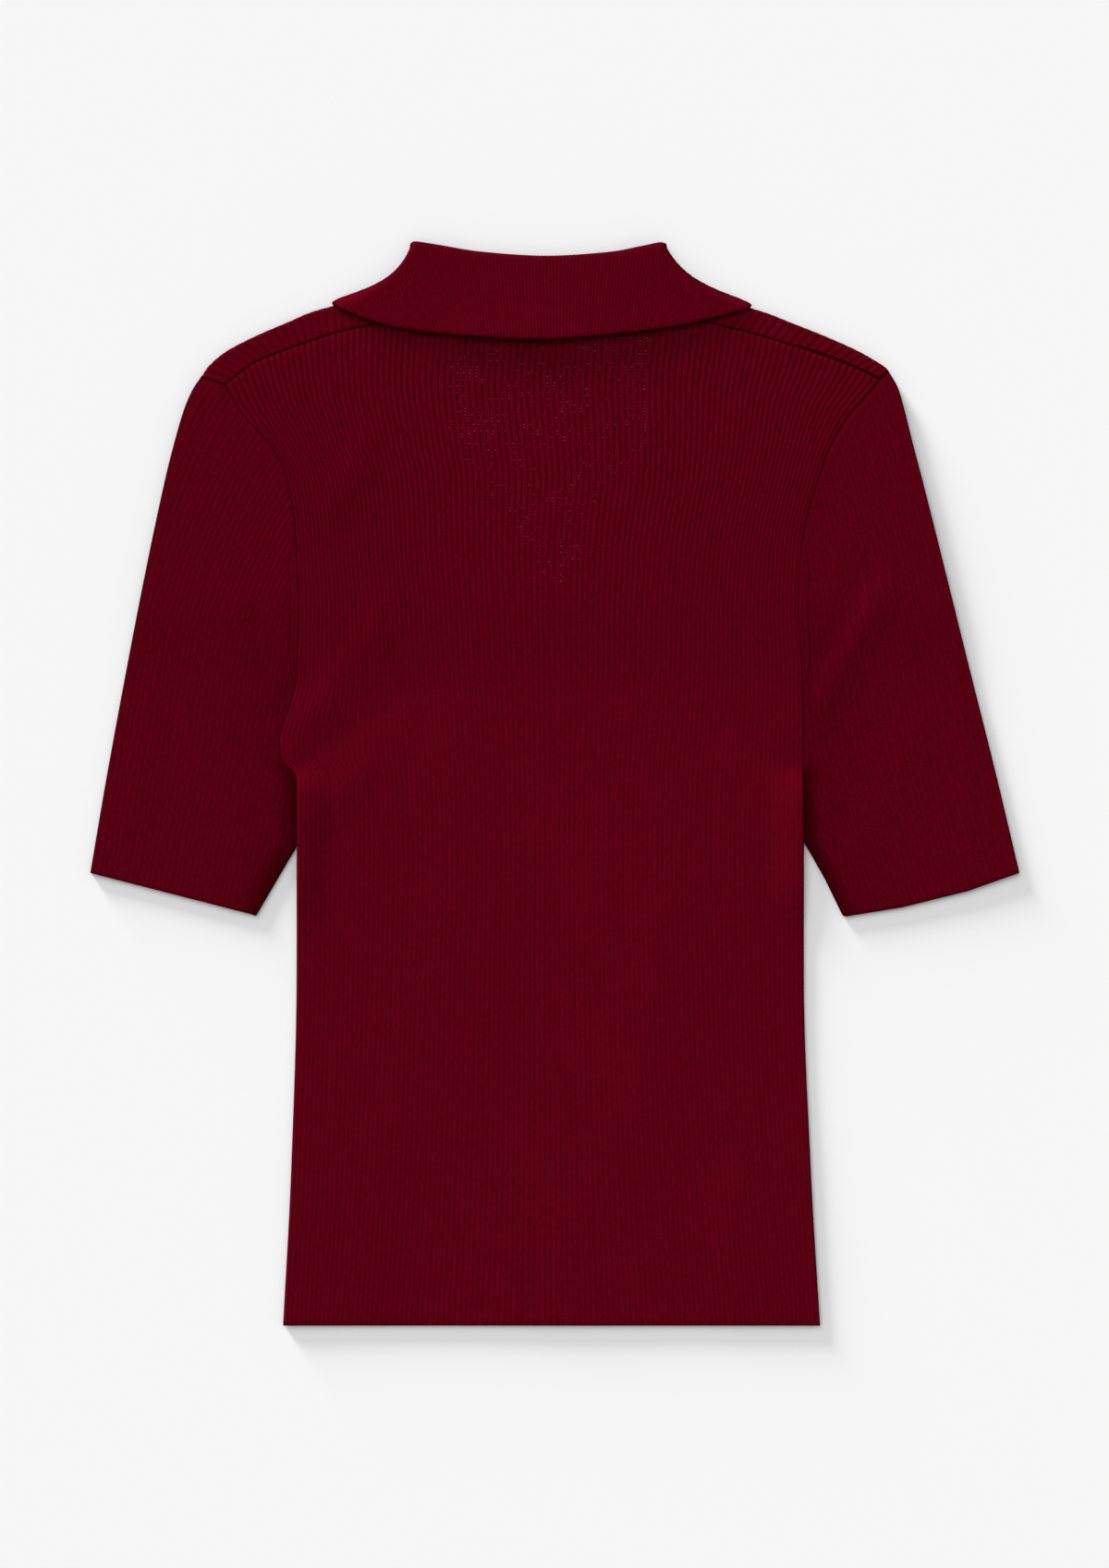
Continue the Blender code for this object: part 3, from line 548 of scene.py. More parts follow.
def hump(value, middle, width):
    """1 at the middle, falling off smoothly to both sides."""
    return math.exp(-(((value - middle) / width) ** 2))


def thin(x, y):
    """How many of the stitches let light through."""
    if y < OPEN_V[0].y:
        return 0.0
    inside = soft(min(x - curve(OPEN_V, "left", y), curve(OPEN_V, "right", y) - x) / V_FADE)
    band = sum(strength * hump(x, middle, width) for middle, width, strength in THIN_BANDS)
    above = soft((y - THIN_ABOVE) / THIN_ABOVE_SOFT)
    return inside * (THIN + band * above + THIN_ROW_MORE * hump(y, THIN_ROW, THIN_ROW_WIDTH) * band)


LEAST_STRETCHED, STRETCHED_ABOVE, STRETCHED_OVER = 0.25, 40.0, 150.0


def stretched(x, y):
    """How far the ribs are drawn apart, so their troughs show in relief and in painted shade: most of all
    across the shoulders.
    """
    return LEAST_STRETCHED + (1 - LEAST_STRETCHED) * soft((y - STRETCHED_ABOVE) / STRETCHED_OVER)


def under_collar(x, y):
    """1 under the collar's free edge, and less below it: where its painted shadow falls."""
    return 1 - soft((height_at(FALL_EDGE, x) - y + FALL_SHADE_ABOVE) / FALL_SHADE)


def seam_line(x, y):
    """1 on the back's seams with the sleeves and the wraps, and 0 a stitch away."""
    away = abs(height_at(BACK_EDGE, x) + SHOULDER_GAP / 2 - y)
    if y > UNDERARM:
        away = min(away, abs(x - body_edge("left", y)), abs(body_edge("right", y) - x))
    return 1 - soft(away / SEAM_SHADE)


def both(one, other):
    """Two shades, each a share of the light kept off, on top of each other."""
    return 1 - (1 - one) * (1 - other)


UP_SHADE, UP_FROM, UP_OVER = 0.09, 10.0, 150.0     # the back is a little darker towards its top
SIDE_SHADE, SIDE_WIDTH = 0.05, 140.0               # and towards its sides


def body_shade(x, y):
    """The share of the light kept off the back's cloth."""
    slow = UP_SHADE * soft((y - UP_FROM) / UP_OVER) + SIDE_SHADE * (1 - hump(x, 0.0, SIDE_WIDTH))
    return both(both(ON_BACK_SEAM * seam_line(x, y), UNDER_COLLAR * under_collar(x, y)), slow)


def spaced(low, high, step):
    """Evenly spaced values from low to high, about a step apart."""
    count = max(round((high - low) / step), 1)
    return [low + (high - low) * k / count for k in range(count + 1)]


# Back

def body_edge(side, y):
    """The x of the body's side, bulge included."""
    return curve(BODY_SIDES, side, y) - bulge(side, y, 0.0)


# The body's edge stands proud of the sleeve's inner fold between these heights
PROUD_FROM, PROUD_FULL, PROUD_TO, PROUD_END = -90.0, -50.0, -6.0, 12.0
PROUD_RISE, PROUD_WIDTH = 2.4, 22.0


def window(y, start, full, full_to, end):
    """0 below start and above end, and 1 between full and full_to."""
    return soft((y - start) / (full - start)) * soft((end - y) / (end - full_to))


def proud(y, inset):
    """1 on the side where the body's edge stands proud, and less away from it."""
    return window(y, PROUD_FROM, PROUD_FULL, PROUD_TO, PROUD_END) * (1 - soft(inset / PROUD_WIDTH))


def smooth_floor(y):
    """The front panel's underside, with soft ends to the climb onto the collar's leaves."""
    return STEP_UP * soft((y - RAMP_FOOT + RAMP_SOFT) / (RAMP_HEAD - RAMP_FOOT + 2 * RAMP_SOFT))


ROUND_STEPS = 6               # of the curve between two points of an outline
BACK_EDGE = rounded(BACK_TOP, ROUND_STEPS)
CLIMB = 76.0                  # length of the rows above SHOULDER_BASE
EDGE_CLIMBS = (0.981, 0.993, 1.0)
UNDERARM_ROWS, UNDERARM_ROW = (3.3, 17.3), 1.0     # heights between which rows lie close together
HEM_ROWS = (0.5, 1.4)         # heights of the rows that round the hem
PLAIN_EVERY = 4               # ribs to a column of a plain inside
LEAST_RISE, STRETCHED_RISE = 0.08, 0.32     # shares of RIB_RISE that show
BLUNT_SIDE, BLUNT_END = 0.1, 0.2            # keep some of the wall at the very edge


def back_row(base, climb):
    """A row of the back: its two ends' heights and a function from share to plan position."""
    left_y = base + (BACK_TOP[0].y - base) * climb
    right_y = base + (BACK_TOP[-1].y - base) * climb
    left = body_edge("left", left_y) + SEAM_GAP / 2
    right = body_edge("right", right_y) - SEAM_GAP / 2
    plain_left = curve(BODY_SIDES, "left", left_y) + SEAM_GAP / 2

    def place(share):
        x = plain_left + (right - plain_left) * crowded(share, (left_y + right_y) / 2)
        x -= bulge("left", left_y, share)
        top_x = BACK_TOP[0].x + (BACK_TOP[-1].x - BACK_TOP[0].x) * crowded(share, BACK_TOP[0].y)
        return x, base + (height_at(BACK_EDGE, top_x) - base) * climb

    return left, right, place


# How much closer together the back's ribs are at its sides than in its middle
CROWDING = (
    At(-300.0, 0.12),
    At(-250.0, 0.08),
    At(-190.0, 0.05),
    At(-120.0, 0.03),
    At(-40.0, 0.0),
    At(0.0, 0.02),
    At(40.0, 0.08),
    At(98.0, 0.16),
    At(130.0, 0.2),
    At(165.0, 0.22),
    At(190.0, 0.19),
    At(225.0, 0.03),
)


def crowded(share, y):
    """A rib's share of the width, with the sides' ribs closer together than the middle's."""
    amount = curve(CROWDING, "amount", min(max(y, CROWDING[0].y), CROWDING[-1].y))
    return share - amount * math.sin(2 * math.pi * share) / (2 * math.pi)


def back_cloth(material):
    """The back panel, from the hem to its shoulder and neck seams."""
    cloth = Cloth()
    outer, inner = [], []
    columns = BACK_RIBS * A_RIB
    rows = [(y, 0.0) for y in spaced(HEM, SHOULDER_BASE, ROW)]
    rows[1:1] = [(HEM + up, 0.0) for up in HEM_ROWS]
    rows = sorted(rows + [(y, 0.0) for y in spaced(*UNDERARM_ROWS, UNDERARM_ROW)])
    rows += [(SHOULDER_BASE, climb) for climb in spaced(0.0, EDGE_CLIMBS[0], ROW / CLIMB)[1:]]
    rows += [(SHOULDER_BASE, climb) for climb in EDGE_CLIMBS[1:]]
    for base, climb in rows:
        left, right, place = back_row(base, climb)
        ribbed, plain = [], []
        for column in range(columns + 1):
            x, y = place(column / columns)
            rib = column / A_RIB
            inset = min(x - left, right - x)
            end = min(base - HEM, (1 - climb) * CLIMB)
            loose = proud(y, x - left) + proud(y, right - x)
            under = smooth_floor(y) + STEP_UP + PROUD_RISE * loose
            rise = RIB_RISE * (LEAST_RISE + STRETCHED_RISE * stretched(x, y)) * crest(rib)
            height = under + (WALL + rise) * rounding(inset + BLUNT_SIDE) * rounding(end + BLUNT_END)
            height += creased(BODY_CREASES, x, y) + uneven(x, y)
            knit = (rib, y / COURSE)
            ribbed.append((column, (x, y, height), knit))
            if column % (PLAIN_EVERY * A_RIB) == 0 or column in (A_RIB, columns - A_RIB):
                plain.append((column, (x, y, under + creased(BODY_CREASES, x, y) + uneven(x, y)), knit))
        outer.append(ribbed)
        inner.append(plain)
    cloth.wall(outer, inner)
    marks = {"thin": thin, "stretched": stretched, "shade": body_shade}
    return cloth.finish("back_cloth", "back_panel", material, marks)


# Front, with its wraps over the shoulders

HALF_COLUMNS = 12             # of each half of the front
FOLD_STEPS = 10               # of the turn over a shoulder
WRAP_ROWS = 9
WRAP_RISE = 0.25
NECK_GAP = 0.9                # from the collar's middle to the front's neck edge
NECK_STEPS, STEPS_A_TURN = 80, 10
SHOULDER_GAP = 0.35
# Columns that round the lower front's sides: where they come in a row, and how far in they lie
SIDE_COLUMNS = ((0.3, 0.4), (0.6, EDGE_RADIUS))
FRONT_LIFT = 0.8              # of the rise that the back's proud edge has
FRONT_CLIMBS = (0.1, 0.2, 0.35, 0.5, 0.65, 0.78, 0.88, 0.95)
NEAR_EDGE = 0.5               # place in a row of the column that rounds the upper front's side
WRAP_INSETS = (1.2, 0.5, 0.0)     # of the last rows of a wrap, from the shoulder seam
RISE_FROM = 0.3               # share of the turn over the shoulder where the ribs start to rise


def neck_edge(side):
    """The front's neck edge beside the collar's seam, from the V's tip up to the shoulder fold."""
    sign = -1 if side == "left" else 1
    first = 0 if side == "left" else len(COLLAR) - 1
    line = [Side(V_TIP[1], V_TIP[0], V_TIP[0])]
    for step in range(NECK_STEPS):
        seam = smooth_turn(abs(first - step / STEPS_A_TURN)).seam
        if seam.y > line[-1].y:
            x = seam.x + sign * NECK_GAP
            line.append(Side(seam.y, x, x))
    return line


# The wraps' ends on the armhole seams
WRAP_END = {"left": (LEFT_FOLD[0], BACK_TOP[0]), "right": (BACK_TOP[-1], RIGHT_FOLD[0])}


def front_rows(low, high):
    """Heights of the front's rows, which are plain and so can lie further apart."""
    return spaced(low, high, 2 * ROW)


def lower_front(cloth):
    """The front from the hem to the V's tip."""
    under, over = [], []
    columns = 2 * HALF_COLUMNS
    for y in front_rows(HEM, RAMP_HEAD):
        left = body_edge("left", y) + SEAM_GAP / 2
        right = body_edge("right", y) - SEAM_GAP / 2
        top = smooth_floor(y) + WALL
        middle = V_TIP[0]
        places = [(0, left)] + [(u, left + inset) for u, inset in SIDE_COLUMNS]
        for column in range(1, columns):
            share = column / HALF_COLUMNS
            x = left + (middle - left) * share if share < 1 else middle + (right - middle) * (share - 1)
            places.append((column, x))
        places += [(columns - u, right - inset) for u, inset in SIDE_COLUMNS[::-1]] + [(columns, right)]
        low, high = [], []
        for u, x in places:
            lift = FRONT_LIFT * (PROUD_RISE * (proud(y, x - left) + proud(y, right - x)))
            thick = WALL * rounding(min(x - left, right - x))
            low.append((u, (x, y, top + lift - thick), (x, y / COURSE)))
            if u == int(u):
                high.append((u, (x, y, top + lift), (x, y / COURSE)))
        under.append(low)
        over.append(high)
    cloth.wall(under, over, last=False)


def upper_front(cloth, side):
    """One half from the V's tip over the shoulder fold to the shoulder seam."""
    sign = -1 if side == "left" else 1
    fold = rounded(LEFT_FOLD if side == "left" else RIGHT_FOLD, ROUND_STEPS)
    armhole_top, neck_top = fold[0], fold[-1]
    neck_line = neck_edge(side)
    under, over = [], []
    straight = [(y, 0.0) for y in front_rows(RAMP_HEAD, SHOULDER_BASE)]
    for base, climb in straight + [(SHOULDER_BASE, climb) for climb in FRONT_CLIMBS]:
        outer_y = base + (armhole_top.y - base) * climb
        edge = body_edge(side, outer_y) - sign * SEAM_GAP / 2
        neck = linear(neck_line, side, base + (neck_top.y - base) * climb)
        shares = [0, EDGE_RADIUS / abs(neck - edge)] + [c / HALF_COLUMNS for c in range(1, HALF_COLUMNS + 1)]
        low_row, high_row = [], []
        for index, share in enumerate(shares):
            u = (0, NEAR_EDGE)[index] if index < 2 else index - 1
            x = edge + (neck - edge) * share
            y = base + (along(fold, share).y - base) * climb
            top = smooth_floor(y) + WALL
            low_row.append((u, (x, y, top - WALL * rounding(abs(x - edge))), (x, y / COURSE)))
            if u != NEAR_EDGE:
                high_row.append((u, (x, y, top), (x, y / COURSE)))
        under.append(low_row)
        over.append(high_row)
    wrap(under, over, side, fold)
    cloth.wall(under, over, first=False)


def wrap(under, over, side, fold):
    """The turn over the shoulder and the ribbed wrap down to the shoulder seam."""
    middle = STEP_UP + WALL + LAYER_GAP / 2
    edge = BACK_TOP[:NECK_START + 1] if side == "left" else BACK_TOP[NECK_END:][::-1]
    seam = [Point(p.x, p.y + SHOULDER_GAP) for p in rounded(edge, ROUND_STEPS)]
    coarse = list(range(HALF_COLUMNS + 1))
    fine = [HALF_COLUMNS * c / (A_RIB * WRAP_RIBS) for c in range(A_RIB * WRAP_RIBS + 1)]
    lows = {u: along(seam, u / HALF_COLUMNS) for u in set(coarse + fine)}
    highs = {}
    for u in lows:
        share = u / HALF_COLUMNS
        highs[u] = along(fold, share - curve(WRAP_LEAN, side, share))

    def place(u, depth):
        high, low = highs[u], lows[u]
        return high.x + (low.x - high.x) * depth, high.y + (low.y - high.y) * depth

    def reach(u):
        return math.dist(highs[u], lows[u])

    for step in range(FOLD_STEPS + 1):
        turn = math.pi * step / FOLD_STEPS
        for row, columns, radius in ((under, fine, ROUND), (over, coarse, LAYER_GAP / 2)):
            points = []
            for u in columns:
                rib = u / HALF_COLUMNS * WRAP_RIBS
                rising = soft(2 * (step / FOLD_STEPS - RISE_FROM))
                rise = WRAP_RISE * crest(rib) * rising if columns is fine else 0.0
                out = radius + rise
                inset = ROUND - out * math.sin(turn)
                spot = place(u, inset / reach(u))
                points.append((u, (*spot, middle - out * math.cos(turn)), (rib, inset / COURSE)))
            row.append(points)
    for step in range(1, WRAP_ROWS + len(WRAP_INSETS)):
        ribbed, plain = [], []
        for columns, row in ((fine, ribbed), (coarse, plain)):
            for u in columns:
                rib = u / HALF_COLUMNS * WRAP_RIBS
                start = ROUND / reach(u)
                depth = start + (1 - start) * min(step / WRAP_ROWS, 1.0)
                left = (1 - depth) * reach(u)
                if step >= WRAP_ROWS:
                    left = WRAP_INSETS[step - WRAP_ROWS]
                    depth = 1 - left / reach(u)
                x, y = place(u, depth)
                height = middle + LAYER_GAP / 2
                if columns is fine:
                    height += (WALL + WRAP_RISE * crest(rib)) * rounding(left + BLUNT_SIDE) + uneven(x, y)
                row.append((u, (x, y, height), (rib, depth * reach(u) / COURSE)))
        under.append(ribbed)
        over.append(plain)


def front_cloth(material):
    """The front panel: its lower part, and two halves that wrap over the shoulders."""
    cloth = Cloth()
    lower_front(cloth)
    upper_front(cloth, "left")
    upper_front(cloth, "right")
    return cloth.finish("front_cloth", "front_panel", material, {"shade": wrap_shade})


def wrap_end(x, y):
    """1 on the short seam between a wrap and the top of a sleeve, and 0 a stitch away."""
    seam = WRAP_END["left" if x < 0 else "right"]
    return 1 - soft(abs(height_at(seam, x) - y) / SEAM_SHADE)


def wrap_shade(x, y):
    """The share of the light kept off the wraps."""
    return both(ON_WRAP_SEAM * max(seam_line(x, y), wrap_end(x, y)), UNDER_COLLAR * under_collar(x, y))


# Sleeves

# Width of the ribs that show on each sleeve
LEFT_PITCH = (
    Rib(-75.0, 3.12),
    Rib(-33.0, 3.2),
    Rib(15.0, 3.28),
    Rib(60.0, 3.2),
    Rib(110.0, 3.18),
    Rib(140.0, 3.25),
    Rib(181.0, 3.45),
    Rib(212.0, 3.64),
    Rib(232.0, 3.75),
)
RIGHT_PITCH = (
    Rib(-75.0, 3.2),
    Rib(-33.0, 3.35),
    Rib(15.0, 3.5),
    Rib(60.0, 3.3),
    Rib(100.0, 3.12),
    Rib(140.0, 3.0),
    Rib(181.0, 2.98),
    Rib(212.0, 3.2),
    Rib(232.0, 3.4),
)
TURN_STEPS = 8                # of the fold along a sleeve's side
CUFF_SPAN = (-80.0, -45.0)    # the cuffs lie between these heights
OVER_TOP = 6.0                # no rib ends further than this above the sleeve's outer top
HALVINGS = 24
SLEEVE_DIP, SLEEVE_DIP_WIDTH = 0.8, 16.0     # the sleeve is pressed down under the body's edge
SLEEVE_RISE = 0.12
# Two ribs run beside the armhole seam between these heights, and the others end on them
STRIP_FROM, STRIP_FULL, STRIP_TO, STRIP_END = 40.0, 78.0, 118.0, 148.0
STRIP_WIDE, STRIP_RIBS = 5.6, 2
STRIP_SOFT, BESIDE_STRIP = 3, 1.2     # its width at full rise, and how far beside it the others have theirs
LEAST_STRIP, NO_STRIP = 0.01, 0.1
AT_FOLD, AT_SEAM, SLEEVE_WIDE = 0.035, 0.05, 90.0     # ribs lost for each mm of height
OVER_FOLD_FROM, OVER_FOLD_SOFT = 80.0, 24.0
SLEEVE_FINE, SLEEVE_ROW = 8, 1.8
CUFF_ROWS, CAP_ROWS = (0.3, 0.9), (1.0, 0.4)     # the rows that round the cuff and the cap
BLUNT_SEAM = 0.05
UNEVEN_SHIFT = 90             # so that the sleeves' waves differ
BUMP_FROM_SEAM, BUMP_FROM_CAP = 12, 10     # the creases reach their height this far in
TUCKED = 0.1                  # the top layer's inside lies this much lower than its level
CREST = 0.5                   # place of a rib's crest, in ribs

# Shades on the sleeves: how dark, over which width, up to or from which height, and how softly
SEAM_SOFT, TOP_SEAM_FROM = 10, 215
STRIP_SHADE, STRIP_LINE, STRIP_LINE_SOFT = 0.35, 0.9, 4
BESIDE_SHADE, BESIDE_WIDTH, BESIDE_TO, BESIDE_SOFT = 0.5, 13.0, 16.0, 10
WIDE_SHADE, WIDE_WIDTH, WIDE_TO, WIDE_SOFT = 0.12, 60.0, 130.0, 90


def side_of(sleeve):
    return "left" if sleeve.sign < 0 else "right"


def sleeve_inner(sleeve, y):
    """The sleeve's inner line: slanted up to the notch, then beside the body and up the armhole."""
    low, high = sleeve.notch[0], sleeve.notch[-1]
    beside = abs(curve(BODY_SIDES, side_of(sleeve), max(y, high.y))) + SEAM_GAP
    if y >= high.y:
        return beside
    return linear(sleeve.notch, "x", y) + (beside - high.x) * max(y - low.y, 0.0) / (high.y - low.y)


def rib_pitch(sleeve, y):
    """Width of the sleeve's columns, counted in ribs from the outer fold."""
    cap = sleeve.cap_ribs
    if y < cap[0].y:
        return (curve(sleeve.outer, "x", y) - sleeve_inner(sleeve, y)) / SLEEVE_RIBS
    start = (curve(sleeve.outer, "x", cap[0].y) - sleeve_inner(sleeve, cap[0].y)) / SLEEVE_RIBS
    return max(start, curve(cap, "pitch", y))


def rib_x(sleeve, rib, y):
    """The x of a column at this height, on a sleeve whose outer side is towards +X."""
    from_seam = max(1 - (rib + 1) / SLEEVE_RIBS, 0.0)
    return curve(sleeve.outer, "x", y) - rib * rib_pitch(sleeve, y) + bulge(side_of(sleeve), y, from_seam)


def last_inside(low, high, inside):
    """The highest place between low and high that is still inside."""
    for _ in range(HALVINGS):
        y = (low + high) / 2
        if inside(y):
            low = y
        else:
            high = y
    return y


def cuff_y(sleeve, rib):
    """Where this rib meets the cuff."""
    return last_inside(*CUFF_SPAN, lambda y: height_at(sleeve.cuff, rib_x(sleeve, rib, y)) > y)


def cap_y(sleeve, rib):
    """Where this rib meets the armhole seam or the short seam at the top of the sleeve."""
    low = sleeve.cap_ribs[0].y
    if rib == SLEEVE_RIBS:
        return low

    def inside(y):
        x = rib_x(sleeve, rib, y)
        if x >= sleeve.top[-1].x:
            return y < height_at(sleeve.top, x) - 2 * SEAM_GAP
        return x > sleeve_inner(sleeve, y)

    return last_inside(low, sleeve.top[0].y + OVER_TOP, inside)


def strip_width(y):
    """Width of the two ribs that run beside the armhole seam."""
    return STRIP_WIDE * window(y, STRIP_FROM, STRIP_FULL, STRIP_TO, STRIP_END)


def over_fold(sleeve, inward, y):
    """How many of the left sleeve's ribs have run out over its outer fold below this place."""
    if sleeve.sign > 0 or y < OVER_FOLD_FROM:
        return 0.0
    climb = y - OVER_FOLD_FROM
    return climb**2 / (climb + OVER_FOLD_SOFT) * (AT_FOLD + AT_SEAM * inward / SLEEVE_WIDE)


def sleeve_rib(sleeve, x, y, edge):
    """The rib number here, edge mm from the body, and its rise: in the strip beside the seam or beyond it."""
    pitches = LEFT_PITCH if sleeve.sign < 0 else RIGHT_PITCH
    inward = curve(sleeve.outer, "x", y) - x
    rib = inward / curve(pitches, "pitch", y) - over_fold(sleeve, inward, y)
    strip = strip_width(y)
    if max(edge, LEAST_STRIP) < strip:
        rib = math.ceil(rib) + STRIP_RIBS * edge / strip
        return rib, SLEEVE_RISE * crest(rib) * soft(strip / STRIP_SOFT)
    return rib, SLEEVE_RISE * crest(rib) * soft((edge - strip) / BESIDE_STRIP + (strip < NO_STRIP))


def sleeve_spot(sleeve, ends, share, column):
    """A column's x and y at this share of its length, and how far it still has to the cap and the cuff."""
    start, cap = ends[column]
    y = start + (cap - start) * share
    return rib_x(sleeve, column / SLEEVE_FINE, y), y, (cap - start) * (1 - share), (cap - start) * share


def sleeve_row(sleeve, spot, closed):
    """A row's outside and inside: along the top layer, round the outer fold and along the lower layer."""
    columns = SLEEVE_RIBS * SLEEVE_FINE
    plain = [c for c in range(columns + 1) if c % (PLAIN_EVERY * SLEEVE_FINE) == 0 or c == columns]
    outside, inside = [], []
    for column in range(columns, 0, -1):
        x, y, to_cap, to_cuff = spot(column)
        edge = x - sleeve_inner(sleeve, y) - bulge(side_of(sleeve), y, 0.0)
        rib, rise = sleeve_rib(sleeve, x, y, edge)
        if closed:
            rise *= soft(edge / (2 * ROUND))
        thick = (WALL + rise) * rounding(to_cap + BLUNT_SIDE) * rounding(to_cuff + BLUNT_END)
        if not closed:
            thick *= rounding(edge + BLUNT_SEAM)
        dip = SLEEVE_DIP * proud(y, 0.0) * (1 - soft(edge / SLEEVE_DIP_WIDTH))
        under = smooth_floor(y) + STEP_UP
        bump = creased(SLEEVE_CREASES, x, y) + uneven(sleeve.sign * x + UNEVEN_SHIFT, y)
        z = under + thick - dip + bump * soft(edge / BUMP_FROM_SEAM) * soft(to_cap / BUMP_FROM_CAP)
        outside.append((columns - column, (x, y, z), (rib, y / COURSE)))
    fold_x, fold_y, _, _ = spot(0)
    base = smooth_floor(fold_y) + ROUND
    for index in range(1, TURN_STEPS):
        turn = math.pi * index / TURN_STEPS
        across = fold_x - ROUND + ROUND * math.sin(turn)
        place = (across, fold_y, base + ROUND * math.cos(turn))
        outside.append((columns + index / TURN_STEPS, place, (-index / TURN_STEPS, fold_y / COURSE)))
    for column in plain[::-1]:
        x, y, _, _ = spot(max(column, 1))
        inside.append((columns - column, (x, y, smooth_floor(y) + STEP_UP - TUCKED), (CREST, y / COURSE)))
    inside.append((columns + 0.5, (fold_x - WALL, fold_y, base), (CREST, fold_y / COURSE)))
    for column in plain:
        x, y, _, _ = spot(max(column, 1))
        knit = (column / SLEEVE_FINE, y / COURSE)
        outside.append((columns + 1 + column, (x, y, smooth_floor(y)), knit))
        inside.append((columns + 1 + column, (x, y, smooth_floor(y) + WALL), knit))
    return outside, inside


def sleeve_cloth(name, node, sleeve, material):
    """A sleeve: one wall round both its layers, and the fold that closes it below the underarm."""
    cloth = Cloth()
    columns = SLEEVE_RIBS * SLEEVE_FINE
    ends = {c: (cuff_y(sleeve, c / SLEEVE_FINE), cap_y(sleeve, c / SLEEVE_FINE)) for c in range(columns + 1)}
    first = ends[columns][0]
    heights = spaced(first, UNDERARM, SLEEVE_ROW)
    heights[1:1] = [first + up for up in CUFF_ROWS]
    closed_to = len(heights) - 1
    heights += spaced(UNDERARM, RAMP_HEAD - CAP_ROWS[0], SLEEVE_ROW)[1:]
    heights += [RAMP_HEAD - CAP_ROWS[1], RAMP_HEAD]
    outer, inner, turned, hollow = [], [], [], []
    for number, height in enumerate(heights):
        spot = partial(sleeve_spot, sleeve, ends, (height - first) / (RAMP_HEAD - first))
        outside, inside = sleeve_row(sleeve, spot, number <= closed_to)
        if number <= closed_to:
            turn_out, turn_in = underarm_fold(outside, inside)
            turned.append(turn_out)
            hollow.append(turn_in)
        outer.append(outside)
        inner.append(inside)

    def sided(rows):
        return [[(u, (sleeve.sign * p[0], p[1], p[2]), knit) for u, p, knit in row] for row in rows]

    cloth.wall(sided(outer), sided(inner), start_from=closed_to, end_from=closed_to)
    cloth.wall(sided(turned), sided(hollow), start_from=closed_to, end_from=closed_to)
    return cloth.finish(name, node, material, {"shade": partial(sleeve_shade, sleeve)})


def sleeve_shade(sleeve, x, y):
    """The share of the light kept off a sleeve: along its seams, and beside the body that lies over it."""
    from_body = sleeve.sign * x - sleeve_inner(sleeve, y) - bulge(side_of(sleeve), y, 0.0)
    seam = ON_ARMHOLE * (1 - soft(abs(from_body) / SEAM_SHADE)) * soft((y - UNDERARM) / SEAM_SOFT)
    seam = max(seam, ON_TOP_SEAM * wrap_end(x, y) * (y > TOP_SEAM_FROM))
    strip = strip_width(y)
    line = 1 - soft(abs(from_body - strip) / STRIP_LINE)
    seam = max(seam, STRIP_SHADE * line * soft(strip / STRIP_LINE_SOFT))
    beside = BESIDE_SHADE * (1 - soft(from_body / BESIDE_WIDTH)) * soft((BESIDE_TO - y) / BESIDE_SOFT)
    wide = WIDE_SHADE * (1 - soft(from_body / WIDE_WIDTH)) * soft((WIDE_TO - y) / WIDE_SOFT)
    return both(both(seam, beside), wide)


def underarm_fold(outer, inner):
    """Moves a closed row's ends back from the underarm fold and gives the turn that joins them."""
    x, y, top = outer[0][1]
    bottom = outer[-1][1][2]
    middle, radius = (top + bottom) / 2, (top - bottom) / 2

    def back(entry):
        return entry[0], (x + radius, y, entry[1][2]), entry[2]

    for row in (outer, inner):
        row[0] = back(row[0])
        row[-1] = back(row[-1])
    knit = outer[0][2]
    turned = [outer[0]]
    for index in range(1, TURN_STEPS):
        turn = math.pi * index / TURN_STEPS
        across = x + radius - radius * math.sin(turn)
        turned.append((-index / TURN_STEPS, (across, y, middle + radius * math.cos(turn)), knit))
    turned.append((-1, outer[-1][1], knit))
    hollow = [inner[0], (-0.5, (x + WALL, y, middle), knit), (-1, inner[-1][1], knit)]
    return [(-u, p, k) for u, p, k in turned], [(-u, p, k) for u, p, k in hollow]


# Collar

SEAM_LEVEL, SEAM_RADIUS = 3.0, 0.8
ROLL_LEVEL, ROLL_RADIUS = 3.2, 1.8
FALL_LEVEL, FALL_RADIUS = 3.4, 2.8
HAIRPIN, HAIRPIN_CHANGE = 1.0, 0.2
ROLL_STEPS = 8
FALL_STEPS = 42
FALL_SHARES = [k / FALL_STEPS for k in range(1, FALL_STEPS - 1)] + [0.975, 0.99, 1.0]
FREE_EDGE = {0.975: 0.9, 0.99: 0.65, 1.0: 0.25}   # share of the thickness left near the free edge
BOW_POWER, BOW_PEAK = 1.6, 0.1695     # the bow's shape along the fall, and what it peaks at
PLAIN_SECTIONS = 112
SAMPLES = 600                 # of the free edge, to space the ribs' columns evenly
EITHER_SIDE = 0.02            # between a section and the two that give the cloth's direction there
FACING_UP = 0.2               # the ribs rise where the cloth faces up by this much
COLLAR_RISE, COLLAR_UNEVEN = 0.16, 0.6
COLLAR_COURSE = 1.3
COLLAR_PITCH = 1.76           # of the ribs on the fall, at its free edge
MEET_AT, FREE_LEVEL = 300.0, 255.0    # they draw together towards a place this far below the free edge


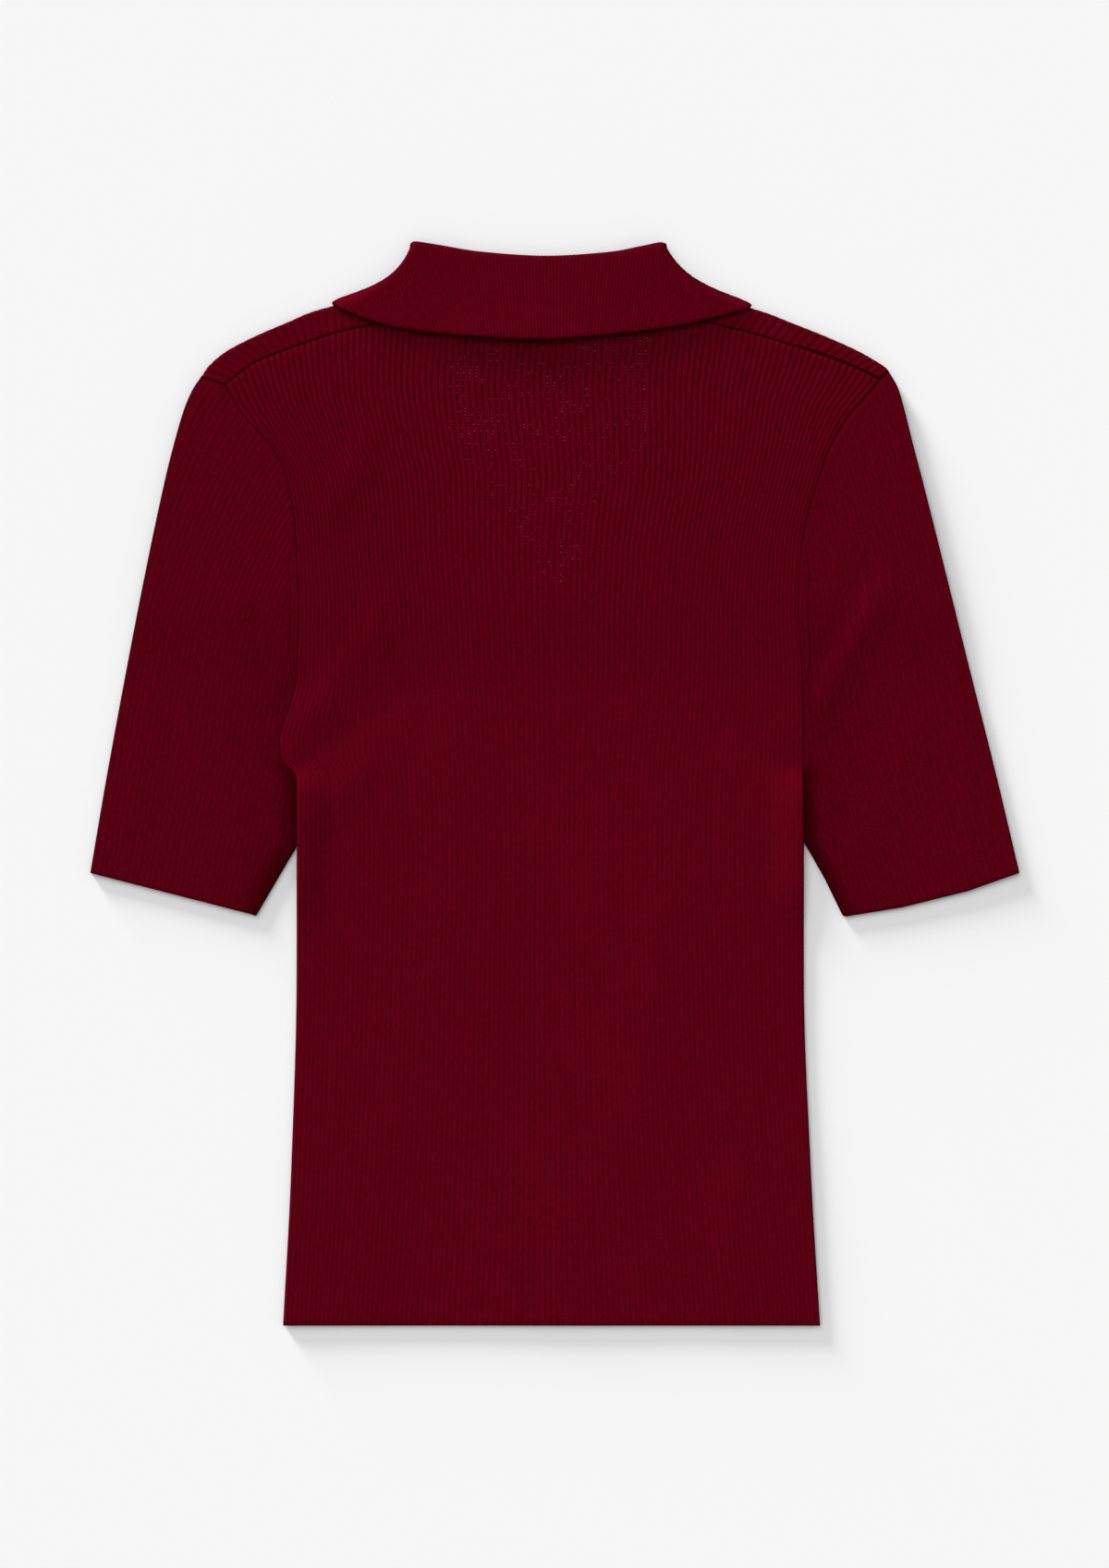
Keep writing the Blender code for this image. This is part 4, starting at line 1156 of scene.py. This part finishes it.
def smooth_turn(position):
    """The collar's section at a place between two rows of its table."""
    first = min(int(position), len(COLLAR) - 2)
    share = position - first
    rows = neighbours(COLLAR, first)

    def plan(column):
        across, up = ([getattr(row, column)[axis] for row in rows] for axis in (0, 1))
        return Vector((between(*across, share), between(*up, share), 0))

    def even(column):
        return getattr(rows[1], column) * (1 - share) + getattr(rows[2], column) * share

    return Turn(even("angle"), plan("seam"), plan("roll"), plan("edge"), even("bow"), even("lift"))


def collar_path(position):
    """Middle of the cloth from the seam to the free edge, with the share of its thickness at each point."""
    turn = smooth_turn(position)
    angle = math.radians(turn.angle)
    outward = Vector((-1 if position < len(COLLAR) / 2 else 1, 0, 0))
    fall_side = Vector((outward.x * math.sin(angle), 0, math.cos(angle)))
    up = (turn.roll - turn.seam).normalized()
    radius = HAIRPIN + HAIRPIN_CHANGE * math.cos(angle)
    seam = turn.seam + Vector((0, 0, SEAM_LEVEL + SEAM_RADIUS * math.cos(angle)))
    roll_level = ROLL_LEVEL + ROLL_RADIUS * math.cos(angle)
    centre = turn.roll - up * (radius + WALL / 2) + Vector((0, 0, roll_level))
    edge = turn.edge + Vector((0, 0, FALL_LEVEL + FALL_RADIUS * math.cos(angle) + turn.lift))
    roll = []
    for step in range(ROLL_STEPS + 1):
        bend = math.pi * step / ROLL_STEPS - math.pi / 2
        roll.append(centre + up * radius * math.cos(bend) + fall_side * radius * math.sin(bend))
    path = [(seam, 1.0), (seam.lerp(roll[0], 0.5), 1.0)] + [(p, 1.0) for p in roll]
    start = roll[-1]
    run = edge - start
    inward = Vector((-run.y, run.x, 0)).normalized()
    if inward.x * outward.x > 0:
        inward = -inward
    for share in FALL_SHARES:
        bow = turn.bow * share * (1 - share) ** BOW_POWER / BOW_PEAK + WALL / 2 * math.sin(angle)
        path.append((start + run * share + inward * bow, FREE_EDGE.get(share, 1.0)))
    return path


def collar_row(place):
    """The collar's section here: each point with the cloth's normal and the share of its thickness."""
    last = len(COLLAR) - 1
    path = collar_path(place)
    before = collar_path(max(place - EITHER_SIDE, 0))
    after = collar_path(min(place + EITHER_SIDE, last))
    row = []
    for j, (point, thick) in enumerate(path):
        ahead = path[min(j + 1, len(path) - 1)][0] - path[max(j - 1, 0)][0]
        row.append((point, ahead.cross(after[j][0] - before[j][0]).normalized(), thick))
    return row


def rib_places():
    """Places along the band, with the rib number of each: a rib's columns are even along the free edge."""
    last = len(COLLAR) - 1
    turns = [t.angle for t in COLLAR]
    start = turns.index(90)
    end = last - turns[::-1].index(90)
    step = last / PLAIN_SECTIONS
    front = [k * step for k in range(PLAIN_SECTIONS + 1)]
    spots = [start + (end - start) * k / SAMPLES for k in range(SAMPLES + 1)]
    edges = [collar_path(s)[-1][0] for s in spots]
    run = [0.0]
    for a, b in zip(edges, edges[1:]):
        run.append(run[-1] + math.dist(a[:2], b[:2]))
    places = []
    columns = A_RIB * COLLAR_RIBS
    at = 0
    for column in range(columns + 1):
        want = run[-1] * column / columns
        while at < SAMPLES - 1 and run[at + 1] < want:
            at += 1
        share = (want - run[at]) / (run[at + 1] - run[at])
        places.append((spots[at] + (spots[at + 1] - spots[at]) * share, column / A_RIB))
    before = [(p, 0.0) for p in front if p < start - step / 2]
    after = [(p, float(COLLAR_RIBS)) for p in front if p > end + step / 2]
    return before + places + after


def collar_cloth(material):
    """The collar, from its seam over the roll to its free edge."""
    cloth = Cloth()
    last = len(COLLAR) - 1
    plain = [(u, collar_row(u)) for u in (last * k / PLAIN_SECTIONS for k in range(PLAIN_SECTIONS + 1))]
    ribbed = [(u, rib, collar_row(u)) for u, rib in rib_places()]
    side = 1 if plain[PLAIN_SECTIONS // 2][1][-1][1].z > 0 else -1
    outer, inner = [], []
    middle = [point for point, _, _ in plain[PLAIN_SECTIONS // 2][1]]
    down = 0.0
    for j in range(len(plain[0][1])):
        down += (middle[j] - middle[max(j - 1, 0)]).length
        row = []
        for u, rib, points in ribbed:
            point, normal, thick = points[j]
            if j > ROLL_STEPS / 2:
                rib = point.x / (1 + (point.y - FREE_LEVEL) / MEET_AT) / COLLAR_PITCH
            rise = COLLAR_RISE * crest(rib) * soft(normal.z * side / FACING_UP)
            place = point + normal * side * (WALL / 2 + rise) * thick
            if j > ROLL_STEPS:
                place.z += COLLAR_UNEVEN * uneven(place.x, 2 * place.y) * thick
            row.append((u, place, (rib, down / COLLAR_COURSE)))
        outer.append(row)
        inner.append([(u, inside_of(points[j], side), (CREST, down / COLLAR_COURSE)) for u, points in plain])
    cloth.wall(outer, inner)
    marks = {"stretched": collar_open, "shade": unshaded}
    return cloth.finish("collar_cloth", "collar", material, marks)


def inside_of(spot, side):
    """The plain side of the collar at one point of a section."""
    point, normal, thick = spot
    return point - normal * side * WALL / 2 * thick


def unshaded(x, y):
    """No shade but that of the edges."""
    return 0.0


ROLL_LINE = sorted(Point(*turn.roll) for turn in COLLAR if turn.angle == 0)


# Where the collar's ribs show by the painted shade in their troughs: from, over which width, and how much
AT_ROLL, AT_ROLL_OVER = 1.0, 6.0
AT_EDGE, AT_EDGE_OVER, AT_EDGE_SHARE = 5.0, 18.0, 0.5
MIDDLE_X, WING, WING_OVER, WING_SHARE = -9.0, 58.0, 22.0, 0.6
LEAST_OPEN = 0.15


def collar_open(x, y):
    """How clearly the collar's ribs show in painted trough shade: best at the roll, near the free edge and on
    the wings.
    """
    near_roll = 1 - soft((height_at(ROLL_LINE, x) - y - AT_ROLL) / AT_ROLL_OVER)
    near_edge = 1 - soft((y - height_at(FALL_EDGE, x) - AT_EDGE) / AT_EDGE_OVER)
    wing = soft((abs(x - MIDDLE_X) - WING) / WING_OVER)
    return LEAST_OPEN + (1 - LEAST_OPEN) * max(near_roll, AT_EDGE_SHARE * near_edge, WING_SHARE * wing)


# Cloth materials

# Stitches
LOOP_TILT, LOOP_HEIGHT = 1.1, 0.15
GROOVE_POWER, GROOVE_DEPTH = 4.0, 0.35
TROUGH_POWER = 2.4
# Three noises, each a scale and a detail, and their shares in a stitch's shade
FIBRES, BLOTCHES, PATCHES = (700.0, 2.0), (14.0, 3.0), (90.0, 2.0)
FIBRE_SHARE, BLOTCH_SHARE, PATCH_SHARE = 0.35, 0.2, 0.15
DARK_STITCH, LIGHT_STITCH = 0.72, 1.24
STITCHES_A_COURSE, STREAKS_A_COURSE = 1.6, 0.7
SPECKLE = (0.14, 0.5)         # how different the stitches are, as they lie and stretched
EVEN_STRETCH = 0.5            # of a cloth that is stretched alike all over
# PATCHY varies how dark the painted shade in the troughs is
PATCHY = (0.4, 1.6)           # how much the troughs' darkness varies
GROOVE_SHADE = (0.0, 0.1)
WAVER, WAVER_NOISE = 0.16, (150.0, 1.0)     # how far a trough strays, in ribs
# Pinholes of light, in the troughs
PINHOLE = (0.27, 0.036, 0.062)
HOLE_HALF_HEIGHT, HOLE_IN_TROUGH = 0.2, 0.68
HOLE_NOISE, HOLE_CLUSTERS, HOLES_OFTEN = (48.0, 1.0), 3.0, (0.05, 3.0)
HOLE_LIGHT_POWER, HOLE_LIGHT = 2.0, (0.25, 1.0)
OTHER_DRAW = 31.0             # ribs away, for a second random value of the same stitch
# Relief
FIBRE_RELIEF, STITCH_RELIEF = 0.8, 0.6
BUMP_STRENGTH, BUMP_DISTANCE = 0.35, 0.00025
CLOTH_ROUGHNESS = 0.95


def math_node(tree, kind, *inputs):
    """A sum of one kind, each input a number or another node's value."""
    node = tree.nodes.new("ShaderNodeMath")
    node.operation = kind
    for socket, value in zip(node.inputs, inputs):
        if isinstance(value, (int, float)):
            socket.default_value = value
        else:
            tree.links.new(value, socket)
    return node.outputs[0]


def knit_group():
    """From a place in ribs and courses: the stitches' height, and how deep in a trough and a groove it is."""
    group = bpy.data.node_groups.new("knit_stitches", "ShaderNodeTree")
    for side, names in (("INPUT", ("Ribs", "Courses", "Wales")), ("OUTPUT", ("Height", "Trough", "Groove"))):
        for name in names:
            group.interface.new_socket(name=name, in_out=side, socket_type="NodeSocketFloat")
    maths = partial(math_node, group)
    ribs, courses, wales = group.nodes.new("NodeGroupInput").outputs[:3]
    across = maths("FRACT", maths("MULTIPLY", ribs, wales))
    tilt = maths("ABSOLUTE", maths("SUBTRACT", across, 0.5))
    run = maths("ADD", courses, maths("MULTIPLY", tilt, LOOP_TILT))
    loops = maths("SINE", maths("MULTIPLY", run, 2 * math.pi))
    groove = maths("POWER", maths("MULTIPLY", tilt, 2.0), GROOVE_POWER)
    lines = maths("MULTIPLY", groove, GROOVE_DEPTH)
    height = maths("SUBTRACT", maths("MULTIPLY", loops, LOOP_HEIGHT), lines)
    whole = maths("ABSOLUTE", maths("SUBTRACT", maths("FRACT", ribs), 0.5))
    trough = maths("POWER", maths("MULTIPLY", whole, 2.0), TROUGH_POWER)
    out = group.nodes.new("NodeGroupOutput")
    for value, socket in zip((height, trough, groove), out.inputs):
        group.links.new(value, socket)
    return group


# A colour scaled by a share: random stitch tones, and the painted shade of whole pieces
def scaled_colour(colour, share):
    return tuple(v * share for v in colour)


def knit_cloth(name, group, base, trough_shade_colour, wales, trough_shade, marks=()):
    """A matte knit. marks names the attributes that it reads besides the painted shade."""
    material = bpy.data.materials.new(name)
    material.use_nodes = True
    tree = material.node_tree
    shader = tree.nodes["Principled BSDF"]
    shader.inputs["Roughness"].default_value = CLOTH_ROUGHNESS
    shader.inputs["Specular IOR Level"].default_value = 0.0
    uv = tree.nodes.new("ShaderNodeUVMap")
    uv.uv_map = "knit"
    apart = tree.nodes.new("ShaderNodeSeparateXYZ")
    tree.links.new(uv.outputs[0], apart.inputs[0])
    where = tree.nodes.new("ShaderNodeTexCoord")

    maths = partial(math_node, tree)

    def noise(scale, detail):
        node = tree.nodes.new("ShaderNodeTexNoise")
        node.inputs["Scale"].default_value = scale
        node.inputs["Detail"].default_value = detail
        tree.links.new(where.outputs["Object"], node.inputs["Vector"])
        return node.outputs["Fac"]

    def cells(across, along):
        """A random value for each stitch."""
        node = tree.nodes.new("ShaderNodeTexWhiteNoise")
        node.noise_dimensions = "2D"
        join = tree.nodes.new("ShaderNodeCombineXYZ")
        tree.links.new(maths("FLOOR", across), join.inputs[0])
        tree.links.new(maths("FLOOR", along), join.inputs[1])
        tree.links.new(join.outputs[0], node.inputs["Vector"])
        return node.outputs["Value"]

    def attribute(mark):
        node = tree.nodes.new("ShaderNodeAttribute")
        node.attribute_name = mark
        return node.outputs["Fac"]

    def mix(factor, one, other):
        node = tree.nodes.new("ShaderNodeMix")
        node.data_type = "RGBA"
        tree.links.new(factor, node.inputs["Factor"])
        for socket, value in ((node.inputs[6], one), (node.inputs[7], other)):
            if isinstance(value, tuple):
                socket.default_value = (*value, 1.0)
            else:
                tree.links.new(value, socket)
        return node.outputs[2]

    def level(value, low, high):
        """Takes 0 to 1 onto low to high."""
        return maths("ADD", maths("MULTIPLY", value, high - low), low)

    ribs, courses = apart.outputs[:2]
    wavy = maths("ADD", ribs, level(noise(*WAVER_NOISE), -WAVER, WAVER))
    stitches = tree.nodes.new("ShaderNodeGroup")
    stitches.node_tree = group
    tree.links.new(wavy, stitches.inputs[0])
    tree.links.new(courses, stitches.inputs[1])
    stitches.inputs[2].default_value = wales
    height, trough, groove = stitches.outputs
    fibres, blotches, patches = noise(*FIBRES), noise(*BLOTCHES), noise(*PATCHES)
    stitch = cells(maths("MULTIPLY", wavy, 2.0 * wales), maths("MULTIPLY", courses, STITCHES_A_COURSE))
    streaks = maths("ADD", maths("MULTIPLY", courses, STREAKS_A_COURSE), blotches)
    streak = cells(maths("MULTIPLY", wavy, wales), streaks)

    def plain_shades(open_up):
        """Each stitch a tone of its own, and painted shade in the troughs and grooves."""
        spread = maths("MULTIPLY", maths("ADD", stitch, streak), level(open_up, *SPECKLE))
        for value, share in ((fibres, FIBRE_SHARE), (blotches, BLOTCH_SHARE), (patches, PATCH_SHARE)):
            spread = maths("ADD", spread, maths("MULTIPLY", value, share))
        stitched = mix(spread, scaled_colour(base, DARK_STITCH), scaled_colour(base, LIGHT_STITCH))
        depth = maths("MULTIPLY", level(open_up, *trough_shade), level(patches, *PATCHY))
        lines = maths("MULTIPLY", groove, level(patches, *GROOVE_SHADE))
        return mix(maths("MAXIMUM", maths("MULTIPLY", trough, depth), lines), stitched, trough_shade_colour)

    def with_pinholes(colour):
        """Light through some of the stitches in the troughs."""
        line = maths("ADD", wavy, 0.5)
        off = maths("ABSOLUTE", maths("SUBTRACT", maths("FRACT", courses), 0.5))
        in_trough = maths("GREATER_THAN", trough, HOLE_IN_TROUGH)
        dot = maths("MULTIPLY", maths("LESS_THAN", off, HOLE_HALF_HEIGHT), in_trough)
        clusters = level(maths("POWER", noise(*HOLE_NOISE), HOLE_CLUSTERS), *HOLES_OFTEN)
        often = maths("MULTIPLY", clusters, attribute("thin"))
        chosen = maths("GREATER_THAN", cells(line, courses), maths("SUBTRACT", 1.0, often))
        bright = maths("POWER", cells(maths("ADD", line, OTHER_DRAW), courses), HOLE_LIGHT_POWER)
        light = maths("MULTIPLY", maths("MULTIPLY", dot, chosen), level(bright, *HOLE_LIGHT))
        return mix(light, colour, PINHOLE)

    colour = plain_shades(attribute("stretched") if "stretched" in marks else EVEN_STRETCH)
    if "thin" in marks:
        colour = with_pinholes(colour)
    # Painted shade: the shade attribute darkens the colour towards black
    colour = mix(attribute("shade"), colour, (0.0, 0.0, 0.0))
    tree.links.new(colour, shader.inputs["Base Color"])
    relief = maths("ADD", height, maths("MULTIPLY", fibres, FIBRE_RELIEF))
    relief = maths("ADD", relief, maths("MULTIPLY", stitch, STITCH_RELIEF))
    bump = tree.nodes.new("ShaderNodeBump")
    bump.inputs["Strength"].default_value = BUMP_STRENGTH
    bump.inputs["Distance"].default_value = BUMP_DISTANCE
    tree.links.new(relief, bump.inputs["Height"])
    tree.links.new(bump.outputs[0], shader.inputs["Normal"])
    return material


# The knit's red, and the darker red of the painted shade in its rib troughs
KNIT_RED, TROUGH_SHADE_RED = (0.096, 0.0008, 0.0063), (0.04, 0.0002, 0.002)
# The wraps, sleeves and collar are the back's red made darker by these shares: painted shade on the same yarn
WRAP_SHADE_DIM, SLEEVE_SHADE_DIM, COLLAR_SHADE_DIM = 0.9, 0.85, 0.89
# How dark the painted shade in the troughs is, as the cloth lies and stretched
BODY_TROUGHS, WRAP_TROUGHS, SLEEVE_TROUGHS, COLLAR_TROUGHS = (0.2, 0.85), (0.4, 0.7), (0.15, 0.4), (0.1, 0.75)
BODY_WALES, COLLAR_WALES = 2.0, 1.0     # to a rib
red_knit = partial(knit_cloth, group=knit_group(), trough_shade_colour=TROUGH_SHADE_RED)
body_knit = red_knit(
    "body_rib_knit", base=KNIT_RED, wales=BODY_WALES, trough_shade=BODY_TROUGHS, marks=("stretched", "thin")
)
wrap_knit = red_knit(
    "front_rib_knit", base=scaled_colour(KNIT_RED, WRAP_SHADE_DIM), wales=BODY_WALES, trough_shade=WRAP_TROUGHS
)
sleeve_knit = red_knit(
    "sleeve_rib_knit", base=scaled_colour(KNIT_RED, SLEEVE_SHADE_DIM), wales=BODY_WALES, trough_shade=SLEEVE_TROUGHS
)
collar_knit = red_knit(
    "collar_rib_knit",
    base=scaled_colour(KNIT_RED, COLLAR_SHADE_DIM),
    wales=COLLAR_WALES,
    trough_shade=COLLAR_TROUGHS,
    marks=("stretched",),
)

back = back_cloth(body_knit)
front = front_cloth(wrap_knit)
left = sleeve_cloth("left_sleeve_cloth", "left_sleeve", LEFT_SLEEVE, sleeve_knit)
right = sleeve_cloth("right_sleeve_cloth", "right_sleeve", RIGHT_SLEEVE, sleeve_knit)
band = collar_cloth(collar_knit)

# Floor, light and camera

FLOOR_SIZE, FLOOR_DOWN = 12.0, 0.0002     # metres
FLOOR_WHITE, FLOOR_ROUGHNESS = 0.86, 0.9
bpy.ops.mesh.primitive_plane_add(size=FLOOR_SIZE, location=(0, 0, -FLOOR_DOWN))
floor = bpy.context.object
floor.name = "floor"
pale = bpy.data.materials.new("pale_floor")
pale.use_nodes = True
pale_inputs = pale.node_tree.nodes["Principled BSDF"].inputs
pale_inputs["Base Color"].default_value = (FLOOR_WHITE, FLOOR_WHITE, FLOOR_WHITE, 1.0)
pale_inputs["Roughness"].default_value = FLOOR_ROUGHNESS
pale_inputs["Specular IOR Level"].default_value = 0.0
floor.data.materials.append(pale)

ROOM_LIGHT = 0.52
world = bpy.data.worlds.new("studio")
bpy.context.scene.world = world
world.use_nodes = True
room = world.node_tree.nodes["Background"].inputs
room["Color"].default_value = (1.0, 1.0, 1.0, 1.0)
room["Strength"].default_value = ROOM_LIGHT
LAMP_AWAY = 3                 # metres; only its direction matters


def soft_sun(name, azimuth, elevation, spread, strength):
    """A far soft light. azimuth is measured from +Y towards +X, all angles in degrees."""
    data = bpy.data.lights.new(name, "SUN")
    data.angle = math.radians(spread)
    data.energy = strength
    lamp = bpy.data.objects.new(name, data)
    bpy.context.scene.collection.objects.link(lamp)
    a, e = math.radians(azimuth), math.radians(elevation)
    towards = Vector((math.sin(a) * math.cos(e), math.cos(a) * math.cos(e), math.sin(e)))
    lamp.location = towards * LAMP_AWAY
    lamp.rotation_euler = towards.to_track_quat("Z", "Y").to_euler()


soft_sun("low_window", -34, 7.5, 13, 6.74)
soft_sun("high_window", -30, 52, 50, 1.1)

PHOTO_HIGH = 1697
MM_A_PIXEL = 0.52
LENS, SENSOR = 100.0, 36.0
CLOTH_LEVEL = 0.004           # metres, of the surface that has this scale
OFF_CENTRE = 0.25             # pixels from the part's origin to the picture's middle, both ways
camera_data = bpy.data.cameras.new("camera")
camera_data.lens = LENS
camera_data.sensor_width = SENSOR
camera_data.clip_end = 20.0
camera = bpy.data.objects.new("camera", camera_data)
bpy.context.scene.collection.objects.link(camera)
distance = PHOTO_HIGH * MM_A_PIXEL * MM * LENS / SENSOR
shift = OFF_CENTRE * MM_A_PIXEL * MM
camera.location = (shift, shift, distance + CLOTH_LEVEL)
bpy.context.scene.camera = camera
bpy.context.scene.view_settings.view_transform = "Standard"
